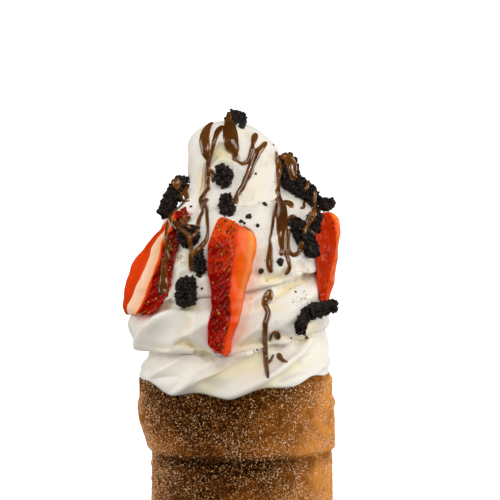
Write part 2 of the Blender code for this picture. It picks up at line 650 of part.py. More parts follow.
def resampled(points, spacing):
    """Points at even steps along a smooth curve through these places."""
    points = [Vector(point) for point in points]
    ends = [2 * points[0] - points[1], *points, 2 * points[-1] - points[-2]]
    fine = []
    for a, b, c, d in zip(ends, ends[1:], ends[2:], ends[3:]):
        for step in range(12):
            t = step / 12
            curve = 2 * b + (c - a) * t + (2 * a - 5 * b + 4 * c - d) * t**2 + (3 * b - a - 3 * c + d) * t**3
            fine.append(curve / 2)
    fine.append(points[-1])
    lengths = np.concatenate([[0], np.cumsum([(b - a).length for a, b in zip(fine, fine[1:])])])
    count = max(3, round(lengths[-1] / spacing) + 1)
    stations = np.linspace(0, lengths[-1], count)
    coordinates = [np.interp(stations, lengths, [point[axis] for point in fine]) for axis in range(2)]
    return list(zip(*coordinates))


def make_strand(tree, name, width, route):
    """One strand of drizzle that lies on the cream, with rounded ends."""
    width_m = width * MM
    centres, normals = [], []
    for place in resampled(route, max(width * 0.8, 1.7)):
        point, normal = on_surface(tree, place)
        centres.append(point + normal * STRAND_RISE * width_m)
        normals.append(normal)
    grid = Grid()
    last = None
    count = len(centres)
    tips = []
    for index, (centre, normal) in enumerate(zip(centres, normals)):
        before, after = centres[max(index - 1, 0)], centres[min(index + 1, count - 1)]
        along = (after - before).normalized()
        side = along.cross(normal).normalized()
        lift = side.cross(along)
        at_end = index in (0, count - 1)
        half = width_m / 2 * (0.72 if at_end else 1)
        row = []
        for corner in range(STRAND_SIDES):
            turn = 2 * math.pi * corner / STRAND_SIDES
            row.append(centre + side * half * math.cos(turn) + lift * half * STRAND_HEIGHT * 1.1 * math.sin(turn))
        row = grid.add(row)
        if last:
            grid.join(last, row)
        last = row
        if at_end:
            tips.append((row, centre + along * width_m * (0.3 if index else -0.3)))
    for row, tip in tips:
        grid.close(row, tip)
    return mesh_object(name, grid.points, grid.faces, CHOCOLATE, 0.2)


def make_crumb(tree, name, place, size, chance):
    """A small irregular crumb, half sunk in the cream."""
    point, _ = on_surface(tree, place)
    shape = bmesh.new()
    bmesh.ops.create_icosphere(shape, subdivisions=1, radius=size / 2 * MM)
    for vertex in shape.verts:
        vertex.co *= 1 + 0.22 * chance.uniform(-1, 1)
    points = [vertex.co + point for vertex in shape.verts]
    faces = [tuple(vertex.index for vertex in face.verts) for face in shape.faces]
    shape.free()
    return mesh_object(name, points, faces, COOKIE, 0.7)


def grown_copy(item, distance):
    """A copy of the object that stands out by this distance all round."""
    copy = item.copy()
    copy.data = item.data.copy()
    bpy.context.scene.collection.objects.link(copy)
    shape = bmesh.new()
    shape.from_mesh(copy.data)
    shape.normal_update()
    moved = []
    for vertex in shape.verts:
        normal = sum((face.normal for face in vertex.link_faces), Vector()).normalized()
        least = min(max(normal.dot(face.normal), 0.45) for face in vertex.link_faces)
        moved.append(vertex.co + normal * distance / least)
    for vertex, place in zip(shape.verts, moved):
        vertex.co = place
    shape.to_mesh(copy.data)
    shape.free()
    return copy


def apply_boolean(item, others, operation, solver):
    """Joins the other objects to the item, or cuts them from it, and removes them."""
    group = bpy.data.collections.new("operands")
    bpy.context.scene.collection.children.link(group)
    for other in others:
        bpy.context.scene.collection.objects.unlink(other)
        group.objects.link(other)
    modifier = item.modifiers.new(operation, "BOOLEAN")
    modifier.operation = operation
    modifier.operand_type = "COLLECTION"
    modifier.collection = group
    modifier.solver = solver
    bpy.context.view_layer.update()
    evaluated = item.evaluated_get(bpy.context.evaluated_depsgraph_get())
    mesh = bpy.data.meshes.new_from_object(evaluated)
    item.modifiers.clear()
    item.data = mesh
    for other in list(group.objects):
        bpy.data.objects.remove(other)
    bpy.data.collections.remove(group)


def keep_main_body(item):
    """Drops the loose scraps that a Boolean leaves."""
    shape = bmesh.new()
    shape.from_mesh(item.data)
    bmesh.ops.remove_doubles(shape, verts=shape.verts, dist=0.0005 * MM)
    bmesh.ops.triangulate(shape, faces=shape.faces)
    unseen = set(shape.verts)
    bodies = []
    while unseen:
        front = [unseen.pop()]
        body = list(front)
        while front:
            vertex = front.pop()
            for edge in vertex.link_edges:
                other = edge.other_vert(vertex)
                if other in unseen:
                    unseen.remove(other)
                    front.append(other)
                    body.append(other)
        bodies.append(body)
    bodies.sort(key=len)
    for body in bodies[:-1]:
        bmesh.ops.delete(shape, geom=body, context="VERTS")
    mesh = bpy.data.meshes.new(item.name)
    shape.to_mesh(mesh)
    shape.free()
    for material in item.data.materials:
        mesh.materials.append(material)
    item.data = mesh
    return len(bodies)


def main():
    for item in list(bpy.data.objects):
        bpy.data.objects.remove(item)
    chance = random.Random(7)
    make_cake()
    cream = make_cream()
    tree = surface_of(cream)
    berries = [
        make_berry("strawberry_front", FRONT_BERRY, FRONT_BERRY_DEPTH, FRONT_BERRY_BACK, BERRY_BOW[0]),
        make_berry("strawberry_left", LEFT_BERRY, LEFT_BERRY_DEPTH, LEFT_BERRY_BACK, BERRY_BOW[1]),
        make_berry("strawberry_right", RIGHT_BERRY, RIGHT_BERRY_DEPTH, RIGHT_BERRY_BACK, BERRY_BOW[2]),
    ]
    berries.append(turned_copy(berries[0], "strawberry_back", BACK_TURN))
    pieces = list(berries)
    for row in COOKIES:
        cookie = make_cookie(tree, *row, chance)
        near = [grown_copy(piece, TOPPING_GAP) for piece in pieces]
        apply_boolean(cookie, near, "DIFFERENCE", "EXACT")
        keep_main_body(cookie)
        pieces.append(cookie)
    for name in BACK_COOKIES:
        pieces.append(turned_copy(bpy.data.objects[name], name.replace("cookie", "cookie_back"), BACK_TURN))
    toppings = []
    for index, (width, route) in enumerate(DRIZZLE):
        toppings.append(make_strand(tree, f"strand_{index}", width, route))
    for index, (across, up, size) in enumerate(CRUMBS):
        toppings.append(make_crumb(tree, f"crumb_{index}", (across, up), size, chance))
    apply_boolean(cream, toppings, "UNION", "MANIFOLD")
    keep_main_body(cream)
    apply_boolean(cream, [grown_copy(piece, GAP) for piece in pieces], "DIFFERENCE", "MANIFOLD")
    keep_main_body(cream)


main()
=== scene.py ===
"""Looks of the chimney cake cup: sugared crust, whipped cream, strawberries, broken cookies and chocolate
drizzle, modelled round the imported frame. +Z is up, -Y is the front, and sizes are in metres.
Angles round the axis are in degrees from the front, positive towards +X."""

import json
import math
import random

import bmesh
import bpy
import numpy as np
from bpy.props import FloatProperty, IntProperty, PointerProperty
from mathutils import Matrix, Vector
from mathutils.bvhtree import BVHTree
from mathutils.kdtree import KDTree

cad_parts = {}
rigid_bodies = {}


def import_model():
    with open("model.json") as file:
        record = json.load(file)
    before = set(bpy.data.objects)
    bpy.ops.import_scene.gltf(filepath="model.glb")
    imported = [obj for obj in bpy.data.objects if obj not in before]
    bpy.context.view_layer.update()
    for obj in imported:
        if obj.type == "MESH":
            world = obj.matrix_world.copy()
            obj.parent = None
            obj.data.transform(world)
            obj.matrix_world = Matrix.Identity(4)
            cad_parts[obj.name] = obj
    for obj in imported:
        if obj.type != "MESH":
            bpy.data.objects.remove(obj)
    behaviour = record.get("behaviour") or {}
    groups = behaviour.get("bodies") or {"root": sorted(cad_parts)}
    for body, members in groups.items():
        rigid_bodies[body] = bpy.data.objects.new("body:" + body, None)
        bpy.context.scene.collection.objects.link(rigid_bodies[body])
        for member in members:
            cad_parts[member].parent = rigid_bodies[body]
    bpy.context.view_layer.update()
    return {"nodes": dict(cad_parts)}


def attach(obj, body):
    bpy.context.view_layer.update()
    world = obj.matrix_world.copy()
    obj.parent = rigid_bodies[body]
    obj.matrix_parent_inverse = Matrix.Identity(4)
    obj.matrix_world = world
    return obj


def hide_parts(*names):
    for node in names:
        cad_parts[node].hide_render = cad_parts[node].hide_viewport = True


bl_info = {
    "name": "Chimney cake cup",
    "version": (1, 0, 0),
    "blender": (4, 5, 0),
    "location": "3D View > Sidebar > Dessert",
    "description": "Models the crust, cream and toppings of a filled chimney cake",
    "category": "Object",
}

MM = 0.001
FULL_TURN = 6.28  # in radians, rounded, for waves that start at random
GAP = 0.35 * MM  # between the dough and the cream that lies on it

# Dough tube, wound from one flat strip
DOUGH_HEIGHT = 100 * MM
STRIP_PITCH = 31 * MM
FIRST_SEAM = 69 * MM
SEAM_DROP_FROM = 70
SEAM_DROP_TO = 290
BASE_RADIUS = 27 * MM
BASE_ROUNDING = 8 * MM
FOOT_RADIUS = 30.4 * MM
DOUGH_TAPER = 0.034
# Over this many turns under the first seam the wall comes to flare out, curl in on the left and lean left
TOP_TURN_FROM = -0.9
TOP_TURN_FLARE = 1.7 * MM
TOP_TURN_CURL = 3.6 * MM
TOP_TURN_SHIFT = 2.0 * MM
DOUGH_SHIFT = 1.1 * MM  # of the turns below it, to the right
DOUGH_SWELL = 0.35 * MM
STRIP_EDGE = 1.5 * MM
MOUTH_RADIUS = 26.5 * MM
RIM_ROUNDING = 5 * MM
RIM_START = DOUGH_HEIGHT - RIM_ROUNDING
# Ends of the crust and of the cream inside the well: radius and height
CRUST_INSIDE = (25.0 * MM, 60 * MM)
CREAM_INSIDE = (24.9 * MM, 62 * MM)
# Tone of the crust from 0 (deep brown) to 1 (golden), and the painted light and shade on it: shade at the
# front left, light on the right and the left, a highlight on the seam's edge, shade under the seam and a
# shadow under the cream's lip
BAKE = 0.61
DARKEST_ANGLE = -22
DARK_WIDTH = 38
DARKEST = 0.42
PAINTED_LIGHT_RIGHT = 0.34
PAINTED_LIGHT_LEFT = 0.10
PAINTED_SHADOW_TOP = 0.26
SEAM_PAINTED_HIGHLIGHT = 0.20
SEAM_SHADE = 0.42
BUMP_WAVES = 60

# Shapes of a sugar grain: (corners, sides)
OCTAHEDRON = (
    ((0, 0, -1.3), (1, 0, 0), (0, 1, 0), (-1, 0, 0), (0, -1, 0), (0, 0, 1.3)),
    ((0, 2, 1), (0, 3, 2), (0, 4, 3), (0, 1, 4), (5, 1, 2), (5, 2, 3), (5, 3, 4), (5, 4, 1)),
)
TETRAHEDRON = (
    ((0.8, 0.8, 0.8), (0.8, -0.8, -0.8), (-0.8, 0.8, -0.8), (-0.8, -0.8, 0.8)),
    ((0, 1, 2), (0, 3, 1), (0, 2, 3), (1, 3, 2)),
)
# Sugar: name of the piece, shape, size, share sunk into the crust and seed of the random draws
GRAINS = (
    ("sugar_coarse", OCTAHEDRON, 0.26 * MM, 0.4, 5),
    ("sugar_fine", TETRAHEDRON, 0.19 * MM, 0.2, 6),
    ("sugar_dust", TETRAHEDRON, 0.12 * MM, 0.2, 7),
)

# Cream swirl: outline as (height, radius), lean towards -X as (height, shift), in millimetres
CREAM_OUTLINE = (
    (89, 33.6), (98, 34.2), (105, 34.2), (110, 35.2), (114, 36.2), (119, 36.9), (126, 35.6), (133, 33.8),
    (140, 33.2), (148, 32.0), (153, 30.0), (156.5, 26.6), (159, 21.8), (162, 18.4), (166, 16.9),
    (171, 16.6), (178, 16.5), (182.4, 15.4), (186, 12.6), (188.8, 8.6), (190.4, 3.8), (190.9, 0.0),
)
CREAM_LEAN = (
    (90, 1.2), (104, 1.4), (111, 3.5), (119, 3.8), (127, 2.8), (138, 1.7), (160, 1.3), (178, 2.0),
    (186, 3.6), (193, 5.0),
)
RIM_SWELL = 3.4 * MM
RIM_SWELL_TOP = 112 * MM
LEDGE_RISE = 7 * MM
LEDGE_RISE_ANGLE = 100
LEDGE_RISE_WIDTH = 55
OUTLINE_STEPS = 400
OUTLINE_KERNEL = 23
CREAM_SWELL = 0.5 * MM
OVERHANG = 0.45
# Crease between the swirl's turns: unwound angle, height, depth
CREASE = (
    (-140, 106.0, 0.0), (-90, 107.0, 4.6), (0, 106.5, 2.6), (45, 110.5, 2.2), (90, 114.5, 1.0),
    (180, 118.0, 2.8), (270, 121.5, 3.0), (360, 127.5, 2.8), (390, 131.0, 3.4), (450, 138.0, 1.8),
    (540, 146.0, 3.0), (630, 152.0, 2.6), (720, 158.5, 2.0), (790, 161.0, 2.4), (880, 165.0, 0.0),
)
# Ridges of the star nozzle, with their height as (height up the swirl, outward height)
FLUTES = 10
FLUTE_SHIFT = 0.4
FLUTE_ANGLE = -3
FLUTE_CLIMB = 0.337 * MM
FLUTE_HEIGHT = ((90, 3.3), (107, 2.9), (114, 1.6), (135, 1.5), (155, 1.1), (170, 0.6), (185, 0.3))
# Lower edge of the cream: (angle, height), and the scallops between its tips
LIP_TIPS = (
    (-180, 93.0), (-147, 92.5), (-111, 96.0), (-75, 96.6), (-40, 91.8), (-3, 91.0), (33, 95.0),
    (69, 98.0), (105, 97.5), (141, 93.0), (180, 93.0),
)
LIP_SCALLOP = 1.7 * MM
LIP_ROUNDING = 3.5 * MM
LIP_THICKNESS = 0.9 * MM
LIP_BLEND_TOP = 108 * MM
# Folds of the peak: route of (angle, height), depth, how softly it ends, and which side is soft
FOLDS = (
    (((-36, 158), (-40, 166), (-36, 172.5), (-28, 178), (-15, 181), (-2, 180), (7, 176)), 1.6, 6.0, 1),
    (((150, 160), (146, 168), (150, 176), (165, 182), (182, 181), (196, 175)), 1.2, 9.0, 1),
    (((-120, 186), (-112, 176), (-118, 166)), 1.6, 6.0, 1),
)
FOLD_EDGE = 1.2 * MM
# Dents where the cream gives way to a topping: angle, height, half width in degrees, half height, depth
DENTS = ((-80, 149, 36, 15, 6.2),)

# The toppings are placed as seen from a point in front of the cup: each place is (across, up) in millimetres
# in the upright plane through the axis, and lies on the sight line through it.
EYE = Vector((4.3, -550.0, 143.0))
BACK_TURN = 168

# Strawberry wedges. Each row is a section, from the top to the tip: its corners' places from left to right.
FRONT_BERRY = (
    ((-6.6, 155.6), (0.2, 151.6), (6.4, 148.4)),
    ((-9.6, 150.0), (-0.9, 148.0), (6.7, 145.0)),
    ((-11.4, 142.0), (-1.6, 141.0), (6.0, 139.6)),
    ((-11.4, 134.0), (-2.6, 133.5), (4.0, 133.0)),
    ((-10.2, 127.0), (-3.1, 126.5), (2.6, 126.5)),
    ((-10.2, 120.0), (-2.8, 119.5), (0.9, 119.5)),
    ((-11.5, 113.5), (-3.7, 113.0), (-0.9, 112.8)),
    ((-11.3, 108.3), (-5.0, 107.3), (-2.8, 106.8)),
    ((-9.3, 106.0), (-5.8, 103.8), (-4.2, 103.2)),
)
LEFT_BERRY = (
    ((-27.0, 153.4), (-25.8, 154.2), (-23.6, 156.4), (-19.4, 159.6)),
    ((-29.6, 150.2), (-27.4, 150.4), (-24.6, 151.8), (-19.4, 155.6)),
    ((-34.8, 144.0), (-32.0, 144.2), (-28.0, 145.2), (-21.4, 148.6)),
    ((-38.8, 138.8), (-33.8, 138.0), (-29.2, 138.8), (-23.8, 141.0)),
    ((-41.0, 133.0), (-36.8, 131.8), (-32.0, 132.2), (-24.8, 133.0)),
    ((-42.0, 128.2), (-38.9, 127.0), (-33.8, 126.4), (-26.6, 126.2)),
    ((-42.5, 122.6), (-41.0, 122.4), (-36.4, 121.6), (-31.2, 120.8)),
    ((-41.6, 119.0), (-40.8, 119.4), (-37.8, 119.2), (-34.6, 119.0)),
)
RIGHT_BERRY = (
    ((29.4, 156.6), (33.4, 157.2), (34.8, 157.0)),
    ((28.8, 152.6), (35.2, 153.4), (37.2, 153.8)),
    ((28.8, 145.0), (36.2, 145.6), (37.3, 146.0)),
    ((29.0, 138.0), (35.0, 138.8), (36.9, 139.5)),
    ((29.6, 131.0), (33.4, 131.4), (35.4, 131.7)),
    ((30.2, 126.4), (32.6, 126.4), (34.3, 126.4)),
    ((30.8, 123.8), (32.4, 123.6), (33.4, 123.8)),
)
# Each berry: CAD node, sections, depth (y) of the corners in the first and the last, the two hidden corners
# behind in the first and the last, and how far the middle bows outwards
BERRIES = (
    (
        "strawberry_front", FRONT_BERRY, ((-30.5, -38.0, -32.0), (-38.0, -43.0, -40.0)),
        (((-4.0, -24.0), (4.5, -25.0)), ((-8.0, -33.0), (-4.5, -33.5))), 1.6,
    ),
    (
        "strawberry_left", LEFT_BERRY, ((-8.0, -16.0, -22.5, -23.5), (-6.0, -16.0, -22.0, -25.5)),
        (((-23.0, -4.0), (-17.0, -12.0)), ((-33.0, -1.0), (-29.0, -12.0))), 2.4,
    ),
    (
        "strawberry_right", RIGHT_BERRY, ((-14.0, -13.0, -10.5), (-17.5, -17.5, -14.5)),
        (((26.0, 0.0), (32.0, 4.0)), ((27.5, -4.0), (30.5, -3.0))), 1.0,
    ),
)
# Folds and crests of the cream in front: route of (across, up), inward depth (a crest where negative), and
# how far each reaches on the route's left and right
STROKES = (
    (((-21.2, 106.9), (-19.0, 106.6), (-17.2, 105.4), (-14.6, 103.8)), 2.6, 4.5, 0.9),
    (((-34.2, 107.1), (-30.5, 106.0), (-26.8, 105.8), (-21.6, 106.9)), 0.9, 3.5, 0.8),
    (((-1.6, 104.9), (2.8, 106.0), (7.3, 106.9), (11.0, 108.2), (15.0, 109.5)), 2.0, 5.0, 0.8),
    (((15.4, 109.7), (18.0, 110.1), (20.9, 109.3), (24.3, 109.6), (27.6, 111.4),
        (30.2, 113.2)), 1.2, 4.0, 2.0),
    (((-23.8, 88.2), (-20.9, 90.3), (-17.9, 93.4), (-14.9, 97.1), (-12.0, 99.0), (-9.4, 100.5),
        (-5.3, 101.9), (-2.0, 102.9), (4.3, 104.3), (8.7, 106.7)), -1.3, 2.2, 1.2),
    (((-14.2, 89.7), (-10.9, 94.2), (-6.1, 97.5), (0.6, 100.1), (7.3, 102.3),
        (12.4, 105.3)), 1.6, 5.0, 7.0),
    (((-0.9, 88.2), (4.3, 91.2), (9.1, 93.8), (13.6, 96.8), (18.4, 100.5), (22.8, 104.2), (25.8, 107.8),
        (28.0, 111.9)), -1.3, 2.4, 0.9),
    (((2.8, 89.0), (9.1, 92.3), (14.7, 95.3), (19.8, 99.0), (24.3, 103.0)), 1.5, 1.2, 4.5),
    (((-33.4, 114.9), (-31.2, 117.5), (-28.6, 118.8), (-25.7, 119.9), (-21.6, 120.4),
        (-17.2, 120.1)), -0.9, 1.4, 3.5),
    (((-30.5, 120.1), (-27.9, 120.8), (-24.9, 121.4)), 1.6, 2.5, 0.8),
    (((-26.4, 121.9), (-25.3, 123.8), (-23.4, 126.0), (-21.6, 128.2)), 1.2, 2.6, 0.9),
    (((-22.3, 121.7), (-17.9, 121.2), (-13.1, 121.2)), 1.3, 3.0, 0.9),
    (((-19.0, 120.1), (-19.0, 114.9), (-20.1, 111.2)), 1.0, 3.2, 3.6),
    (((-12.0, 105.3), (-9.0, 103.0), (-6.1, 101.2)), 1.0, 0.9, 3.0),
    (((7.6, 132.3), (10.2, 131.7), (13.6, 131.3), (16.9, 131.7), (19.1, 133.4)), 2.6, 5.0, 0.8),
    (((11.7, 123.4), (13.9, 125.1), (16.9, 127.1), (19.8, 128.9), (22.4, 130.8),
        (25.8, 131.9)), 1.7, 3.0, 0.8),
    (((14.7, 127.8), (18.0, 129.3), (20.9, 130.8)), 0.8, 2.2, 1.6),
    (((5.4, 120.8), (7.3, 121.9), (9.5, 123.4)), 1.9, 3.2, 0.8),
    (((-2.0, 107.8), (2.4, 111.2), (6.5, 114.1), (8.7, 116.7)), -0.8, 1.2, 1.8),
    (((1.7, 107.8), (5.0, 110.8), (8.4, 112.7)), 0.9, 1.4, 2.4),
    (((12.4, 113.4), (16.9, 116.4), (22.8, 118.6)), -0.6, 2.2, 2.2),
    (((-10.9, 172.6), (-10.5, 176.3), (-9.4, 179.4), (-6.8, 180.9), (-3.5, 180.0),
        (-2.0, 177.0)), 0.8, 0.9, 4.2),
    (((-11.2, 172.2), (-9.0, 174.8), (-6.8, 176.3), (-4.2, 176.5), (-0.9, 174.8),
        (2.8, 172.6)), -1.1, 1.0, 2.6),
    (((-12.3, 174.4), (-12.7, 170.4), (-13.5, 166.7), (-14.6, 162.6)), 1.1, 2.8, 0.8),
    (((-0.1, 187.0), (2.8, 185.9), (5.4, 183.3)), 0.8, 1.6, 2.6),
    (((10.2, 176.3), (7.6, 171.9), (5.0, 167.4), (2.1, 162.6)), 0.7, 7.0, 3.0),
    (((-24.9, 138.6), (-21.6, 140.0), (-17.9, 138.6)), 0.8, 2.0, 3.0),
    (((-23.8, 131.5), (-21.6, 134.9), (-17.9, 136.3)), -0.6, 1.5, 1.8),
    (((21.3, 138.6), (24.3, 135.6), (25.0, 130.4)), 0.9, 2.4, 2.0),
    (((16.9, 138.6), (19.1, 135.6), (22.8, 133.4)), -0.8, 1.8, 1.8),
)
# Places of the cream with a painted yellowish shade: across, up, half width, half height in millimetres,
# share
PAINTED_SHADE_PLACES = (
    (-6.2, 178.6, 5.5, 3.6, 0.8), (-13.4, 167.2, 1.6, 6.0, 0.8), (5.0, 163.4, 5.5, 5.5, 0.25),
    (21.5, 163.0, 3.6, 2.4, 0.5), (13.5, 132.4, 6.0, 2.4, 0.6), (12.5, 121.6, 4.5, 2.0, 0.5),
    (27.0, 114.6, 4.0, 3.0, 0.5), (-22.5, 140.8, 4.5, 3.0, 0.5),
)
SKIN_SWELL = 0.24  # bow of the skin as a share of its width
SKIN_MARK = 0.001  # the least value of the attribute on skin, which tells it from flesh
TIP_ROWS = 7  # rows over which a wedge's ends are rounded off
TIP_SCALE = 0.80
# Uneven surface of a wedge: length and height of the waves in millimetres, and their share on the flesh
BERRY_LUMPS = ((9.0, 0.24, 1), (4.5, 0.20, 0.35), (2.0, 0.17, 0.0), (1.2, 0.10, 0.0))
SEED_SPACING = 2.9 * MM
SEED_LENGTH = 1.25 * MM
SEED_SINK = 0.20 * MM
SEED_SIDES = 8
SEED_SHAPE = ((-0.55, 0.75), (0.15, 1.0), (0.7, 0.6))  # (place along the seed, width) of its rings
SEEDLESS = 0.22
DIMPLE = 0.46 * MM
DIMPLE_REACH = 0.72 * MM
# The right wedge shows little skin, with shallow dimples and one seed in seven
PLAIN_BERRY = "strawberry_right"
PLAIN_DIMPLES = 0.25
PLAIN_SEEDS = 7
# Pieces of cookie fitted closer to the photo: width, height, lean and turn, then how far right, forward
# and up each is moved, in millimetres
RESHAPED = {
    "cookie_peak": (1.0, 1.0, 0.0, 0.0, (0.0, 0.0, -1.2)),
    "cookie_low_bar": (1.40, 1.12, 0.0, 0.35, (-1.9, 2.2, 0.0)),
    "cookie_low_leg": (0.9, 1.0, 0.0, 0.0, (0.2, 0.0, 1.0)),
    "cookie_middle": (1.12, 1.45, 0.0, 0.0, (0.0, 3.0, -1.3)),
    "cookie_upper": (0.9, 1.0, 0.0, 0.0, (0.0, 0.0, 0.2)),
    "cookie_left_long": (0.94, 1.0, 0.14, 0.0, (0.0, 0.0, 0.0)),
}
# Relief of the cookies: name, kind of noise, size in millimetres and share of the roughness
COOKIE_RELIEF = (("lumps", "BLENDER_ORIGINAL", 2.0, 1.1), ("pits", "VORONOI_F1", 1.0, 1.5))
PRESS_LIMIT = 3.2 * MM  # how far in front of a berry the cream may be and still be pressed behind it
PRESS_DEPTH = 0.4 * MM

